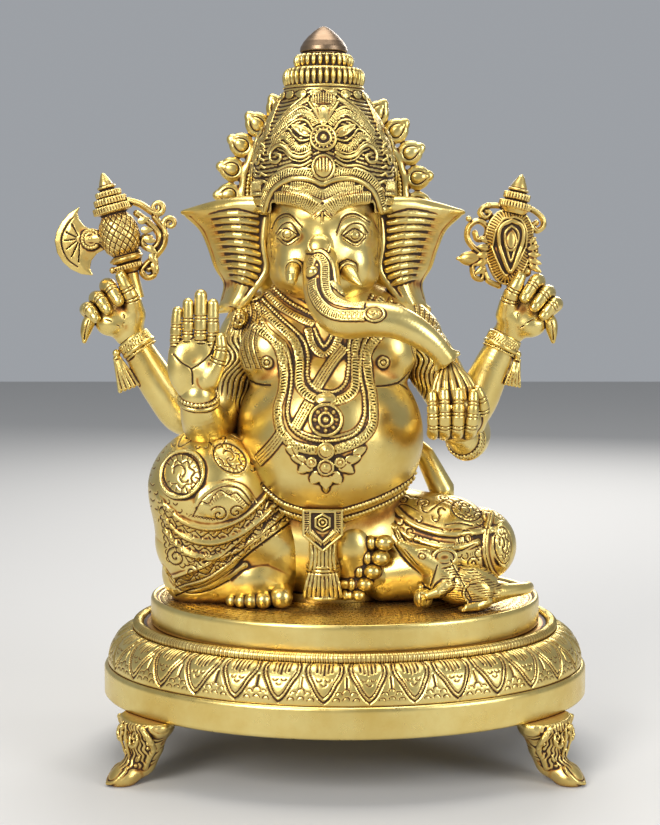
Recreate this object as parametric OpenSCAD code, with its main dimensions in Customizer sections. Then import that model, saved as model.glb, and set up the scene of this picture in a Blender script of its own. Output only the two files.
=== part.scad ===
// Seated elephant-headed deity on a footed oval base: an assembly of brass
// castings. The hollow ones rest on the plinth or on each other, so their core
// openings are closed, and they are brazed, screwed or bolted together.
// Millimetres. +Z is up, -Y is the front, and the origin is on the ground under
// the middle of the base.

/* [Base] */
// Width of the oval base across its rim
base_w = 308; // [292:1:324]
// Depth of every oval as a share of its width
aspect = 0.78; // [0.76:0.01:0.86]
// Height of the cast feet
foot_h = 39; // [36:1:46]
// Height of the plain rim band
rim_h = 19; // [17:1:24]
// Height of the convex lotus band
lotus_h = 25; // [22:1:32]
// Height of the plinth drum, with its raised edge
plinth_h = 18; // [17:1:24]

/* [Figure] */
// Height of the seated figure above the plinth floor
figure_h = 358; // [340:1:376]
// How far the figure sits behind the middle of the plinth
figure_back = 12; // [8:1:16]

/* [Castings] */
// Wall thickness of the hollow castings
wall = 5; // [4:0.5:6]
// Facets round a soft mass
soft_fn = 16; // [14:2:20]

/* [Fasteners] */
// Diameter of the foot and plinth screws
screw_d = 5; // [4:0.5:6]
// Diameter of the bolts that hold the figure down
bolt_d = 6; // [5:0.5:7]
// Radial clearance of a screw, bolt or plate in its hole
gap = 0.2; // [0.1:0.05:0.4]

/* [Hidden] */
$fn = 64;

BRASS = "#cfa94e";
DARK_BRASS = "#a8813a";
COPPER = "#b87a4b";
STEEL = "#8d8f92";

// Levels and radii of the base. Every radius is half of an oval's width
rim_r = base_w / 2;
lotus_z = foot_h + rim_h;
deck_z = lotus_z + lotus_h;
deck_t = 5;
deck_r = rim_r - 25;
ledge_r = rim_r - 52;
plinth_r = rim_r - 30;
floor_t = 6;
lotus_steps = 8;
edge_h = 2;
seat_z = deck_z + plinth_h - edge_h;

// Each foot stands where the rim oval's own angle is this
foot_angle = 37;
foot_tab_r = 8;
foot_tab_h = 6;
foot_lug_r = rim_r - 14;

// Screws and bolts: half width of the head, its height, and the thread's depth
screw_head_r = screw_d * 0.9;
screw_head_h = 3;
screw_in = 9;
plinth_screw_r = rim_r - 43;
plinth_screw_angles = [35, 145, 215, 325];
bolt_head_r = bolt_d * 0.95;
bolt_head_h = 4;
bolt_in = 9;

// The figure is drawn at its nominal height, with its zero on the plinth floor
nominal_h = 358;
figure_scale = figure_h / nominal_h;

// The plate that closes the torso's core opening, with a boss over each bolt
plate_at = [-10, 0];
plate_r = [46, 38];
plate_t = 5;
boss_r = 8;
boss_h = 12;
bolt_spots = [[-40, -4], [20, -4], [-10, 24]];

// Soft masses of the torso and head, each [centre, half sizes]
torso_masses = [
    [[-10, -4, 38], [62, 50, 44]],
    [[-10, -26, 104], [60, 58, 58]],
    [[-10, -8, 158], [56, 40, 46]],
    [[-42, -32, 156], [25, 22, 24]],
    [[22, -32, 156], [25, 22, 24]],
    [[-58, 2, 164], [25, 24, 24]],
    [[40, 2, 164], [25, 24, 24]],
    [[-12, -4, 190], [32, 30, 28]]
];
head_masses = [
    [[-13, -10, 222], [37, 40, 36]],
    [[-13, 0, 232], [39, 40, 34]],
    [[-13, -22, 208], [32, 28, 24]],
    [[-29, -34, 214], [15, 16, 18]],
    [[3, -34, 214], [15, 16, 18]],
    [[-27, -30, 231], [15, 14, 13]],
    [[1, -30, 231], [15, 14, 13]],
    [[-13, -36, 224], [18, 18, 24]]
];

// Limbs and the trunk: [x, y, z, radius] of each ball that they pass through
raised_leg_balls = [
    [-36, 2, 44, 38], [-84, -38, 72, 38], [-88, -34, 40, 31], [-96, -22, 17, 21],
    [-56, -34, 17, 20], [-84, -38, 72, 32], [-44, -30, 34, 26], [-56, -34, 17, 20], [-92, -26, 20, 22]
];
folded_leg_balls = [
    [18, -2, 36, 36], [64, -20, 34, 32], [84, -20, 35, 23], [48, -36, 22, 20],
    [40, -22, 28, 26], [64, -20, 34, 30], [72, -10, 20, 20], [48, -24, 18, 20], [24, -32, 18, 18]
];
axe_arm_balls = [[-62, 12, 160, 20], [-82, 12, 130, 18], [-98, 10, 108, 16], [-115, 8, 130, 14], [-132, 5, 157, 10.5]];
conch_arm_balls = [[46, 12, 160, 20], [72, 12, 130, 18], [90, 10, 108, 16], [97, 8, 132, 14], [103, 5, 160, 10.5]];
blessing_arm_balls = [[-64, -8, 156, 19], [-78, -18, 128, 17], [-85, -32, 110, 15], [-88, -56, 120, 12], [-88, -66, 131, 10.5]];
offering_arm_balls = [[48, -6, 156, 19], [68, -14, 130, 17], [76, -28, 108, 15], [73, -48, 104, 13], [68, -62, 106, 11]];
trunk_balls = [
    [-14, -46, 221, 17], [-15, -62, 206, 13], [-15, -75, 191, 11.5], [-7, -83, 180, 11], [4, -87, 178, 10.5],
    [16, -89, 180, 10], [29, -90, 178, 9.5], [43, -90, 173, 8.5], [55, -88, 165, 7], [62, -85, 156, 5]
];

// Under each hollow casting: [x, y, radius] of the core openings on the plinth floor
raised_leg_cores = [[-84, -26, 14], [-60, -30, 10]];
folded_leg_cores = [[64, -18, 14], [50, -26, 10]];

// Toes of the standing foot: [x, y of the tip, radius]
toe_spots = [[-39.5, -53, 7.4], [-50.5, -54, 5.6], [-58, -53, 4.8], [-64.5, -51, 4.3], [-70.5, -48, 4]];

// Balls under this radius, such as the fingers', have fewer facets
small_ball = 8.5;
small_fn = 8;

// The crown's outline, as [radius, height above its own foot]
crown_at = [-13.5, -2, 243];
crown_outline = [
    [43, 0], [47, 8], [48.5, 19], [47, 32], [42, 47], [34, 61], [27, 70], [26.5, 78],
    [21, 81], [20, 88], [15, 91], [14, 95]
];
crown_h = 95;
crown_wall = 5;
stud_r = 5;
stud_h = 9;
finial_r = 14.2;
finial_h = 20;

// The ring of petals behind the crown
halo_at = [-13.5, 30, 257];
halo_r = 50;
halo_t = 4;
petal_count = 15;
petal_length = 24;
petal_width = 13;

// Ears, as ribs from root to edge: [root height, edge reach, edge height]
ear_ribs = [
    [251, 55, 243], [247, 50, 237], [240, 46, 229], [233, 43, 220], [226, 39, 211],
    [219, 35, 203], [211, 31, 195], [203, 28, 189], [196, 26, 184], [190, 24, 181]
];
ear_root_x = 34;
ear_t = 5;

axe_fist = [-147, 2, 178];
conch_fist = [115, 2, 184];
palm_at = [-89, -72, 152];
cup_at = [65, -78, 122];
modak_at = [63, -82, 131];
modak_r = 12.5;
modak_h = 25;

module ball(b, grow = 0)
    translate([b[0], b[1], b[2]]) sphere(b[3] + grow, $fn = b[3] < small_ball ? small_fn : soft_fn);

// A limb: each ball is joined to the next by a rounded cone
module limb(balls, grow = 0)
    for (i = [0:len(balls) - 2])
        hull() {
            ball(balls[i], grow);
            ball(balls[i + 1], grow);
        }

module soft(masses, grow = 0)
    for (m = masses)
        hull() translate(m[0]) scale([m[1][0] + grow, m[1][1] + grow, m[1][2] + grow]) sphere(1, $fn = soft_fn);

module above_floor()
    intersection() {
        children();
        translate([-300, -300, 0]) cube([600, 600, 600]);
    }

module figure()
    translate([0, figure_back, seat_z]) scale(figure_scale) children();

module oval(r, h)
    linear_extrude(h) scale([1, aspect]) circle(r);

module on_oval(r, angle)
    translate([r * cos(angle), r * aspect * sin(angle), 0]) children();

// ---- base ----

// Side outline of a foot: x runs outwards from the screw, y is up
module foot_side()
    polygon([
        [-4, foot_h], [24, foot_h], [25, foot_h - 5], [21, foot_h - 11], [18, foot_h * 0.5], [20, 12],
        [25, 6], [32, 2], [32, 0], [12, 0], [9, 6], [6, 14], [1, foot_h - 12], [-4, foot_h - foot_tab_h]
    ]);

// Front outline of a foot: a leaf that narrows to a neck and spreads again
module foot_front()
    polygon([
        [-21, foot_h], [21, foot_h], [19, foot_h - 9], [13, foot_h * 0.52], [11, 13], [14, 5], [12, 0],
        [-12, 0], [-14, 5], [-11, 13], [-13, foot_h * 0.52], [-19, foot_h - 9]
    ]);

module foot(side, front) {
    angle = atan2(front * sin(foot_angle) * aspect, side * cos(foot_angle));
    color(DARK_BRASS)
        translate([side * foot_lug_r * cos(foot_angle), front * foot_lug_r * aspect * sin(foot_angle), 0])
            rotate(angle)
                difference() {
                    union() {
                        intersection() {
                            rotate([90, 0, 0]) linear_extrude(50, center = true) foot_side();
                            translate([-10, 0, 0]) rotate([90, 0, 90]) linear_extrude(60) foot_front();
                        }
                        translate([0, 0, foot_h - foot_tab_h]) cylinder(r = foot_tab_r, h = foot_tab_h);
                    }
                    translate([0, 0, -1]) cylinder(d = screw_d + 2 * gap, h = foot_h + 2);
                    translate([0, 0, -1]) cylinder(r = screw_head_r + 1, h = foot_h - foot_tab_h + 1);
                }
}

module screw(d, head_r, head_h, length) {
    translate([0, 0, -head_h]) cylinder(r = head_r, h = head_h);
    cylinder(d = d, h = length);
}

module at_feet()
    for (angle = [foot_angle, 180 - foot_angle, 180 + foot_angle, 360 - foot_angle])
        on_oval(foot_lug_r, angle) children();

module foot_screws()
    color(STEEL)
        at_feet() translate([0, 0, foot_h - foot_tab_h])
            screw(screw_d, screw_head_r, screw_head_h, foot_tab_h + screw_in);

// The convex lotus band rises in fine steps along a quarter of an oval
function lotus_r(i) = rim_r - 22 + 20 * sqrt(1 - pow((i + 0.2) / lotus_steps, 2));

module base_rim()
    color(BRASS)
        difference() {
            union() {
                difference() {
                    union() {
                        translate([0, 0, foot_h]) oval(rim_r, rim_h);
                        for (i = [0:lotus_steps - 1])
                            translate([0, 0, lotus_z - 1 + i * lotus_h / lotus_steps])
                                oval(lotus_r(i), lotus_h / lotus_steps + 1);
                    }
                    translate([0, 0, foot_h - 1]) oval(rim_r - wall, rim_h + 1.5);
                    translate([0, 0, foot_h]) oval(rim_r - 2.5 * wall, rim_h + 10);
                    translate([0, 0, foot_h]) oval(deck_r - 2 * wall, rim_h + lotus_h - deck_t);
                    translate([0, 0, foot_h]) oval(ledge_r, rim_h + lotus_h + 1);
                }
                at_feet() translate([0, 0, foot_h]) cylinder(r = foot_tab_r + 1, h = rim_h);
            }
            at_feet() translate([0, 0, foot_h - 1]) cylinder(d = screw_d, h = screw_in + 2);
            for (angle = plinth_screw_angles)
                on_oval(plinth_screw_r, angle)
                    translate([0, 0, deck_z - deck_t - 1]) cylinder(d = screw_d + 2 * gap, h = deck_t + 2);
        }

module plinth()
    color(BRASS)
        difference() {
            union() {
                difference() {
                    translate([0, 0, deck_z]) oval(plinth_r, plinth_h);
                    translate([0, 0, deck_z - 1]) oval(plinth_r - wall, plinth_h - edge_h - floor_t + 1);
                    translate([0, 0, seat_z]) oval(plinth_r - 4, edge_h + 1);
                }
                for (angle = plinth_screw_angles)
                    on_oval(plinth_screw_r, angle)
                        translate([0, 0, deck_z]) cylinder(r = boss_r, h = plinth_h - edge_h - 1);
            }
            for (angle = plinth_screw_angles)
                on_oval(plinth_screw_r, angle)
                    translate([0, 0, deck_z - 1]) cylinder(d = screw_d, h = screw_in + 2);
            at_bolts() translate([0, 0, seat_z - floor_t - 1]) cylinder(d = bolt_d + 2 * gap, h = floor_t + 2);
        }

module plinth_screws()
    color(STEEL)
        for (angle = plinth_screw_angles)
            on_oval(plinth_screw_r, angle)
                translate([0, 0, deck_z - deck_t]) screw(screw_d, screw_head_r, screw_head_h, deck_t + screw_in);

module at_bolts()
    for (spot = bolt_spots)
        translate([spot[0] * figure_scale, figure_back + spot[1] * figure_scale, 0]) children();

module seat_plate()
    color(DARK_BRASS)
        difference() {
            union() {
                translate([plate_at[0] * figure_scale, figure_back + plate_at[1] * figure_scale, seat_z])
                    linear_extrude(plate_t)
                        scale([1, plate_r[1] / plate_r[0]]) circle(plate_r[0] * figure_scale - gap);
                at_bolts() translate([0, 0, seat_z]) cylinder(r = boss_r, h = boss_h);
            }
            at_bolts() translate([0, 0, seat_z - 1]) cylinder(d = bolt_d, h = bolt_in + 2);
        }

module figure_bolts()
    color(STEEL)
        at_bolts() translate([0, 0, seat_z - floor_t]) screw(bolt_d, bolt_head_r, bolt_head_h, floor_t + bolt_in);

// ---- torso and legs ----

module hip_drum(grow, h)
    hull() translate([plate_at[0], plate_at[1], 0])
        scale([plate_r[0] + grow, plate_r[1] + grow, 1]) cylinder(r = 1, h = h, $fn = 40);

module torso_form(grow = 0) {
    above_floor() soft(torso_masses, grow);
    hip_drum(wall + grow, 30);
}

module torso_core()
    difference() {
        union() {
            soft([for (i = [0:2]) torso_masses[i]], -wall);
            translate([0, 0, -1]) hip_drum(0.6, 32);
        }
        translate([-100, -100, 190]) cube(200);
    }

module torso()
    color(BRASS)
        difference() {
            torso_form();
            torso_core();
        }

module raised_leg_form() above_floor() limb(raised_leg_balls);
module folded_leg_form() above_floor() limb(folded_leg_balls);

module leg_cores(cores)
    for (c = cores)
        translate([c[0], c[1], -1]) cylinder(r = c[2], h = 22, $fn = 20);

module raised_leg()
    color(BRASS)
        difference() {
            raised_leg_form();
            difference() {
                union() {
                    above_floor() limb(raised_leg_balls, -wall);
                    leg_cores(raised_leg_cores);
                }
                torso_form(wall);
            }
            torso_form();
        }

module folded_leg()
    color(BRASS)
        difference() {
            folded_leg_form();
            difference() {
                union() {
                    above_floor() limb(folded_leg_balls, -wall);
                    leg_cores(folded_leg_cores);
                }
                torso_form(wall);
            }
            torso_form();
        }

// A bare foot: a flat sole with five toes along its front edge
module toes()
    for (t = toe_spots)
        hull() {
            translate([t[0], -40, t[2]]) sphere(t[2], $fn = 10);
            translate([t[0], t[1], t[2]]) sphere(t[2], $fn = 10);
        }

module raised_foot_form()
    above_floor() {
        toes();
        hull() {
            translate([-52, -40, 8]) scale([20, 12, 9]) sphere(1, $fn = soft_fn);
            translate([-48, -28, 16]) scale([16, 12, 14]) sphere(1, $fn = soft_fn);
        }
    }

module raised_foot()
    color(BRASS)
        difference() {
            raised_foot_form();
            raised_leg_form();
            torso_form();
        }

// The folded leg's foot stands on its outer edge, with its toes to the side
module folded_foot_form()
    above_floor() {
        hull() {
            translate([4, -44, 38]) scale([14, 11, 15]) sphere(1, $fn = soft_fn);
            translate([6, -40, 24]) scale([14, 10, 12]) sphere(1, $fn = soft_fn);
            translate([6, -43, 12]) scale([11, 9, 10]) sphere(1, $fn = soft_fn);
        }
        for (i = [0:4])
            limb([[10 - i, -48, 39 - 8 * i, 5.2 - i * 0.3], [24 - 3.4 * i, -52, 40.5 - 8.6 * i, 5.2 - i * 0.3]]);
        limb([[20, -38, 20, 11], [31, -32, 18, 8]]);
    }

module folded_foot()
    color(BRASS)
        difference() {
            folded_foot_form();
            folded_leg_form();
            torso_form();
            raised_foot_form();
        }

// Pleated cloth in plan: ridges along the front of a block
module pleats(width, depth, count)
    polygon(concat([[width, depth], [-width, depth]],
        [for (i = [0:2 * count]) [-width + i * width / count, i % 2 == 0 ? 1.4 : -1.4]]));

// Belt buckle with the pleated end of the waist cloth hanging under it
module sash_form()
    above_floor()
        translate([-14, 0, 0]) {
            translate([0, -50, 0]) rotate([90, 0, 0]) linear_extrude(20)
                polygon([[-12.5, 64], [12.5, 64], [12.5, 51], [0, 40], [-12.5, 51]]);
            translate([0, -60, 28]) linear_extrude(26) pleats(8, 24, 6);
            translate([0, -59, 24]) linear_extrude(6) scale([1.15, 1]) pleats(8, 24, 4);
            translate([0, -58, 25]) mirror([0, 0, 1]) linear_extrude(18, scale = 1.5) pleats(8, 20, 7);
        }

module sash()
    color(DARK_BRASS)
        difference() {
            sash_form();
            torso_form();
            raised_leg_form();
            folded_leg_form();
            raised_foot_form();
            folded_foot_form();
        }

// ---- head ----

module crown_foot_cut()
    translate([crown_at[0], crown_at[1], crown_at[2]]) cylinder(r = 80, h = 120);

module head_form()
    difference() {
        soft(head_masses);
        crown_foot_cut();
    }

module head()
    color(BRASS)
        difference() {
            head_form();
            difference() {
                soft([head_masses[0], head_masses[1]], -wall);
                translate([-100, -100, crown_at[2] + 1]) cube(200);
            }
            translate([crown_at[0], crown_at[1], crown_at[2] - 10]) cylinder(r = 20, h = 20, $fn = 32);
            torso_form();
        }

module trunk_form() limb(trunk_balls);

module trunk()
    color(BRASS)
        difference() {
            trunk_form();
            head_form();
            torso_form();
            modak_form();
        }

module tusk(side)
    color(BRASS)
        difference() {
            limb([[-14 + side * 9, -42, 212, 6], [-14 + side * 15, -58, 208, 4.6], [-14 + side * 18, -66, 206, 2.4]]);
            head_form();
            trunk_form();
        }

function ear_point(side, t, rib) =
    let (root = [ear_root_x - 6, -8, rib[0]], tip = [ear_root_x + rib[1], 10 - (252 - rib[0]) * 0.1, rib[2]])
    let (p = root + (tip - root) * t)
    [-14 + side * p[0], p[1] - 8 * sin(180 * t), p[2]];

module ear_form(side)
    for (i = [0:len(ear_ribs) - 2], j = [0:1])
        hull()
            for (k = [0, 1], t = [j / 2, (j + 1) / 2])
                translate(ear_point(side, t, ear_ribs[i + k])) sphere(ear_t / 2 + (i + k == 0 ? 1.5 : 0), $fn = 8);

module ear(side)
    color(BRASS)
        difference() {
            ear_form(side);
            head_form();
            crown_foot_cut_solid();
            torso_form();
        }

module crown_foot_cut_solid()
    translate(crown_at) rotate_extrude($fn = 48) polygon(concat([[0, 0]], crown_outline, [[0, crown_h]]));

module crown()
    color(BRASS)
        translate(crown_at)
            difference() {
                rotate_extrude() polygon(concat([[0, 0]], crown_outline, [[0, crown_h]]));
                rotate_extrude()
                    polygon(concat([[0, -1], [crown_outline[0][0] - crown_wall, -1]],
                        [for (i = [0:7]) [crown_outline[i][0] - crown_wall, crown_outline[i][1]]], [[0, 78]]));
                translate([0, 0, crown_h - stud_h - 1]) cylinder(r = stud_r, h = stud_h + 2);
            }

module crown_finial()
    color(COPPER)
        translate([crown_at[0], crown_at[1], crown_at[2] + crown_h]) {
            rotate_extrude()
                polygon(concat([[0, 0], [finial_r - 2, 0]],
                    [for (a = [0:10:90]) [finial_r * pow(cos(a), 0.7), 2 + (finial_h - 2) * pow(a / 90, 1.15)]]));
            translate([0, 0, -stud_h]) cylinder(r = stud_r, h = stud_h + 1);
        }

// A petal is where two circles overlap, with its foot at the origin
module petal() {
    bulge = (pow(petal_length, 2) - pow(petal_width, 2)) / (4 * petal_width);
    circle_r = bulge + petal_width / 2;
    translate([petal_length / 2, 0])
        intersection() {
            translate([0, bulge]) circle(circle_r);
            translate([0, -bulge]) circle(circle_r);
        }
}

module halo()
    color(BRASS)
        difference() {
            translate(halo_at) rotate([90, 0, 0]) {
                linear_extrude(halo_t, center = true)
                    difference() {
                        circle(halo_r + 3);
                        translate([-100, -200]) square([200, 200]);
                    }
                for (i = [0:petal_count - 1])
                    rotate(180 * i / (petal_count - 1)) translate([halo_r - 3, 0, 0])
                        linear_extrude(halo_t + 2, center = true) petal();
            }
            crown_foot_cut_solid();
        }

// ---- arms, hands and what they hold ----

module arm(balls)
    difference() {
        limb(balls);
        torso_form();
        children();
    }

module axe_arm() color(BRASS) arm(axe_arm_balls) blessing_arm_form();
module conch_arm() color(BRASS) arm(conch_arm_balls) offering_arm_form();

module blessing_arm_form() limb(blessing_arm_balls);
module offering_arm_form() limb(offering_arm_balls);

module blessing_arm() color(BRASS) arm(blessing_arm_balls) raised_leg_form();
module offering_arm() color(BRASS) arm(offering_arm_balls) folded_leg_form();

// A closed hand round an upright stem; side is where the thumb lies
module fist_form(side) {
    hull() {
        translate([0, 4, -8]) scale([12, 10, 13]) sphere(1, $fn = soft_fn);
        translate([0, 4, 4]) scale([14, 10, 10]) sphere(1, $fn = soft_fn);
    }
    for (i = [0:3])
        limb([[side * (12 - 7 * i), 2, 8 - i, 5], [side * (10 - 7 * i), -11, 7 - i, 4.6],
              [side * (8 - 7 * i), -12, -3 - i, 4.2]]);
    limb([[side * 10, 2, -6, 5], [side * 14, -4, 4, 4.6], [side * 8, -8, 14, 4]]);
    limb([[side * -14, 0, 2, 5], [side * -18, -4, -10, 4.4], [side * -17, -4, -20, 3.4]]);
}

module axe_hand()
    color(BRASS)
        difference() {
            translate(axe_fist) fist_form(1);
            limb(axe_arm_balls);
        }

module conch_hand()
    color(BRASS)
        difference() {
            translate(conch_fist) fist_form(-1);
            limb(conch_arm_balls);
        }

// Ringed cone that tops both of the things held by the rear hands
module ringed_cone(foot_r, h)
    for (i = [0:4])
        translate([0, 0, i * h / 5]) 
            cylinder(r1 = foot_r * (1 - i / 5.5), r2 = foot_r * (0.8 - i / 5.5), h = h / 5 + 0.1, $fn = 16);

module axe_mace()
    color(DARK_BRASS)
        difference() {
            union() {
                hull() {
                    translate([-142, 0, 232]) scale([13, 11, 15]) sphere(1, $fn = soft_fn);
                    translate([-139, 0, 216]) sphere(7, $fn = 12);
                }
                limb([[-139, 0, 216, 6], [-138, 0, 198, 7], [-140, 2, 190, 5]]);
                translate([-151, 0, 240]) rotate([0, -6, 0]) ringed_cone(12, 28);
                axe_blade();
                limb([[-131, 0, 248, 4], [-118, 0, 250, 4], [-112, 0, 236, 4.5], [-116, 0, 222, 4.5], [-124, 0, 214, 4.5],
                      [-130, 0, 206, 4], [-126, 0, 228, 5], [-120, 0, 236, 4], [-112, 0, 236, 4]]);
            }
            translate(axe_fist) fist_form(1);
        }

module axe_blade()
    rotate([90, 0, 0])
        linear_extrude(5, center = true)
            polygon([
                [-171, 247], [-179, 241], [-183.3, 233], [-184.7, 226], [-183.3, 218], [-179, 212], [-172, 206.5],
                [-160, 204.5], [-160.5, 211], [-158, 218], [-150, 220], [-150, 233], [-160, 233.5], [-166, 236],
                [-169.5, 241]
            ]);

module conch()
    color(DARK_BRASS)
        difference() {
            union() {
                soft([[[98, 0, 232], [17, 10, 21]], [[106, 0, 214], [11, 9, 14]], [[84, 0, 220], [9, 7, 12]]]);
                limb([[104, 0, 212, 7], [106, 0, 203, 6], [108, 0, 197, 5]]);
                translate([110, 0, 244]) ringed_cone(10, 25);
                limb([[108, 0, 246, 5], [121, 0, 242, 4.5], [123, 0, 230, 4], [110, 0, 222, 5]]);
                limb([[90, 0, 242, 5], [79, 0, 234, 4.5], [77, 0, 220, 4.5], [86, 0, 210, 5]]);
            }
            translate(conch_fist) fist_form(-1);
        }

// An open hand, palm to the front and fingers up
module blessing_hand()
    color(BRASS)
        difference() {
            union() {
                hull() {
                    translate(palm_at + [-9, 0, 8]) scale([7, 6, 8]) sphere(1, $fn = soft_fn);
                    translate(palm_at + [9, 0, 8]) scale([7, 6, 8]) sphere(1, $fn = soft_fn);
                    translate(palm_at + [1, 3, -14]) scale([11, 8, 9]) sphere(1, $fn = soft_fn);
                }
                for (i = [0:3])
                    limb([for (s = [0:2])
                        concat(palm_at + [(i - 1.5) * 7.8, -1 + s, 12 + s * (14 - abs(i - 1.4) * 1.6)], [4.3 - s * 0.5])]);
                limb([concat(palm_at + [11, 0, -8], [6]), concat(palm_at + [17, -2, 2], [5]), concat(palm_at + [17, -3, 14], [3.8])]);
            }
            limb(blessing_arm_balls);
        }

// A cupped hand under the sweet, fingers up in front of it
module offering_hand_form() {
    hull() {
        translate(cup_at + [0, 4, -4]) scale([13, 11, 11]) sphere(1, $fn = soft_fn);
        translate(cup_at + [0, 6, 8]) scale([13, 8, 8]) sphere(1, $fn = soft_fn);
    }
    for (i = [0:3])
        limb([concat(cup_at + [(i - 1.6) * 7, -2, -6], [4.6]), concat(cup_at + [(i - 1.6) * 7.4, -13, 3], [4.4]),
              concat(cup_at + [(i - 1.6) * 6.8, -15, 15 - abs(i - 1.5)], [3.6])]);
    limb([concat(cup_at + [-12, 2, 0], [5]), concat(cup_at + [-17, -3, 8], [4.4]), concat(cup_at + [-16, -5, 18], [3.6])]);
}

module offering_hand()
    color(BRASS)
        difference() {
            offering_hand_form();
            modak_form(0.1);
            limb(offering_arm_balls);
            trunk_form();
        }

// A pleated sweet dumpling that rises to a point
module modak_form(grow = 0)
    translate(modak_at)
        rotate_extrude($fn = 40)
            polygon(concat([[0, -grow]],
                [for (a = [0:15:90]) [(modak_r + grow) * pow(cos(a), 0.8), -grow + (modak_h - 1) * pow(a / 90, 1.2)]],
                [[0, modak_h + grow]]));

module modak() color(DARK_BRASS) modak_form();

// A mouse that crouches and looks up at the sweet, with its tail round behind it
module mouse()
    color(BRASS)
        difference() {
            above_floor() {
                soft([[[73, -50, 13], [20, 14, 15]], [[58, -51, 20], [14, 12, 14]]]);
                limb([[56, -52, 27, 11], [46, -54, 34, 8], [33.5, -56, 42, 2.6]]);
                limb([[57, -56, 33, 6], [62, -58, 32, 7.5], [60, -50, 30, 6]]);
                limb([[62, -56, 9, 6], [48, -60, 9, 6.5]]);
                limb([[76, -58, 5, 5], [64, -60, 4, 4]]);
                limb([[88, -44, 9, 7], [100, -38, 8, 5], [112, -28, 8, 4.4]]);
            }
            folded_leg_form();
            torso_form();
            folded_foot_form();
        }

foot(-1, -1);  // front_left_foot
foot(1, -1);  // front_right_foot
foot(-1, 1);  // rear_left_foot
foot(1, 1);  // rear_right_foot
foot_screws();
base_rim();
plinth();
plinth_screws();
seat_plate();
figure_bolts();
figure() torso();
figure() sash();
figure() raised_leg();
figure() raised_foot();
figure() folded_leg();
figure() folded_foot();
figure() head();
figure() trunk();
figure() tusk(-1);  // left_tusk
figure() tusk(1);  // right_tusk
figure() ear(-1);  // left_ear
figure() ear(1);  // right_ear
figure() crown();
figure() crown_finial();
figure() halo();
figure() axe_arm();
figure() axe_hand();
figure() axe_mace();
figure() conch_arm();
figure() conch_hand();
figure() conch();
figure() blessing_arm();
figure() blessing_hand();
figure() offering_arm();
figure() offering_hand();
figure() modak();
figure() mouse();
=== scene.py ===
"""A cast brass ganesha idol on a footed oval base, in fine relief.

The soft masses are signed distance fields that are blended like clay, then meshed.
Lengths are millimetres in the figure's own frame, whose zero is the middle of the
plinth floor, and become metres only when a mesh is made.
"""
import math

import bpy
import numpy as np
import openvdb
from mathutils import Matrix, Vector


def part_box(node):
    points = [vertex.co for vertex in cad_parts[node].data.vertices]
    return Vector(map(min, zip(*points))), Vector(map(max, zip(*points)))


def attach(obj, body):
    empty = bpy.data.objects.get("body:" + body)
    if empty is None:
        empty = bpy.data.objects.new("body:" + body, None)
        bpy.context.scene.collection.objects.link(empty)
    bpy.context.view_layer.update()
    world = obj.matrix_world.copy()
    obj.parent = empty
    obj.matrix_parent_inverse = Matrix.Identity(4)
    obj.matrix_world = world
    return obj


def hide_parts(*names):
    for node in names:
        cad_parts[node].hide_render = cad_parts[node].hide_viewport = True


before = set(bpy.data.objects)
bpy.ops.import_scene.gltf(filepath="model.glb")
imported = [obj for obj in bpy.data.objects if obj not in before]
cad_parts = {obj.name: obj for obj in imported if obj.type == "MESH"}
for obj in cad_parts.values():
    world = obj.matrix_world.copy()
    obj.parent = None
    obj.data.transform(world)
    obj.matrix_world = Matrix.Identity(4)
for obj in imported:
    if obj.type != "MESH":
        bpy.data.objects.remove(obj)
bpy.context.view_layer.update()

MM = 0.001
COARSE = 1.0
FAR = 1.0e3
FRONT = np.array([0.0, -1.0, 0.0])
AHEAD = 118.0                           # points are landed from this far before or behind

plinth_low, plinth_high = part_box("plinth")
rim_low, rim_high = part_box("base_rim")
EDGE_H = 2.0                            # the plinth's raised edge over its floor
SEAT = plinth_high[2] / MM - EDGE_H     # height of the figure's zero over the ground
BACK = (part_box("seat_plate")[0][1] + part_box("seat_plate")[1][1]) / 2 / MM
RIM_R = rim_high[0] / MM
ASPECT = rim_high[1] / rim_high[0]
PLINTH_R = plinth_high[0] / MM
FOOT_H = rim_low[2] / MM
DECK_Z = plinth_low[2] / MM
LOTUS_Z = FOOT_H + 19.0


# ---------------------------------------------------------------- clay tools

def vec(*v):
    return np.array(v, float)


def smoothstep(low, high, x):
    t = np.clip((x - low) / (high - low), 0.0, 1.0)
    return t * t * (3.0 - 2.0 * t)


def ellipsoid(centre, radii, turn=None):
    """A shape is its lowest corner, its highest corner and a distance function."""
    centre, radii = np.array(centre, float), np.array(radii, float)
    reach = radii.max() if turn is not None else radii

    def distance(x, y, z):
        p = [x - centre[0], y - centre[1], z - centre[2]]
        if turn is not None:
            p = [turn[0][i] * p[0] + turn[1][i] * p[1] + turn[2][i] * p[2] for i in range(3)]
        a = np.sqrt(sum((p[i] / radii[i]) ** 2 for i in range(3))) + 1e-6
        b = np.sqrt(sum((p[i] / radii[i] ** 2) ** 2 for i in range(3))) + 1e-6
        return a * (a - 1.0) / b

    return centre - reach, centre + reach, distance


def ball(centre, radius):
    return ellipsoid(centre, (radius, radius, radius))


def link(a, b):
    """A rounded cone between two balls, each (x, y, z, radius)."""
    pa, pb, ra, rb = np.array(a[:3], float), np.array(b[:3], float), float(a[3]), float(b[3])
    along = pb - pa
    length2 = max(float(along @ along), 1e-9)

    def distance(x, y, z):
        px, py, pz = x - pa[0], y - pa[1], z - pa[2]
        t = np.clip((px * along[0] + py * along[1] + pz * along[2]) / length2, 0.0, 1.0)
        gap = np.sqrt((px - t * along[0]) ** 2 + (py - t * along[1]) ** 2 + (pz - t * along[2]) ** 2)
        return gap - (ra + t * (rb - ra))

    r = max(ra, rb)
    return np.minimum(pa, pb) - r, np.maximum(pa, pb) + r, distance


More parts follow.
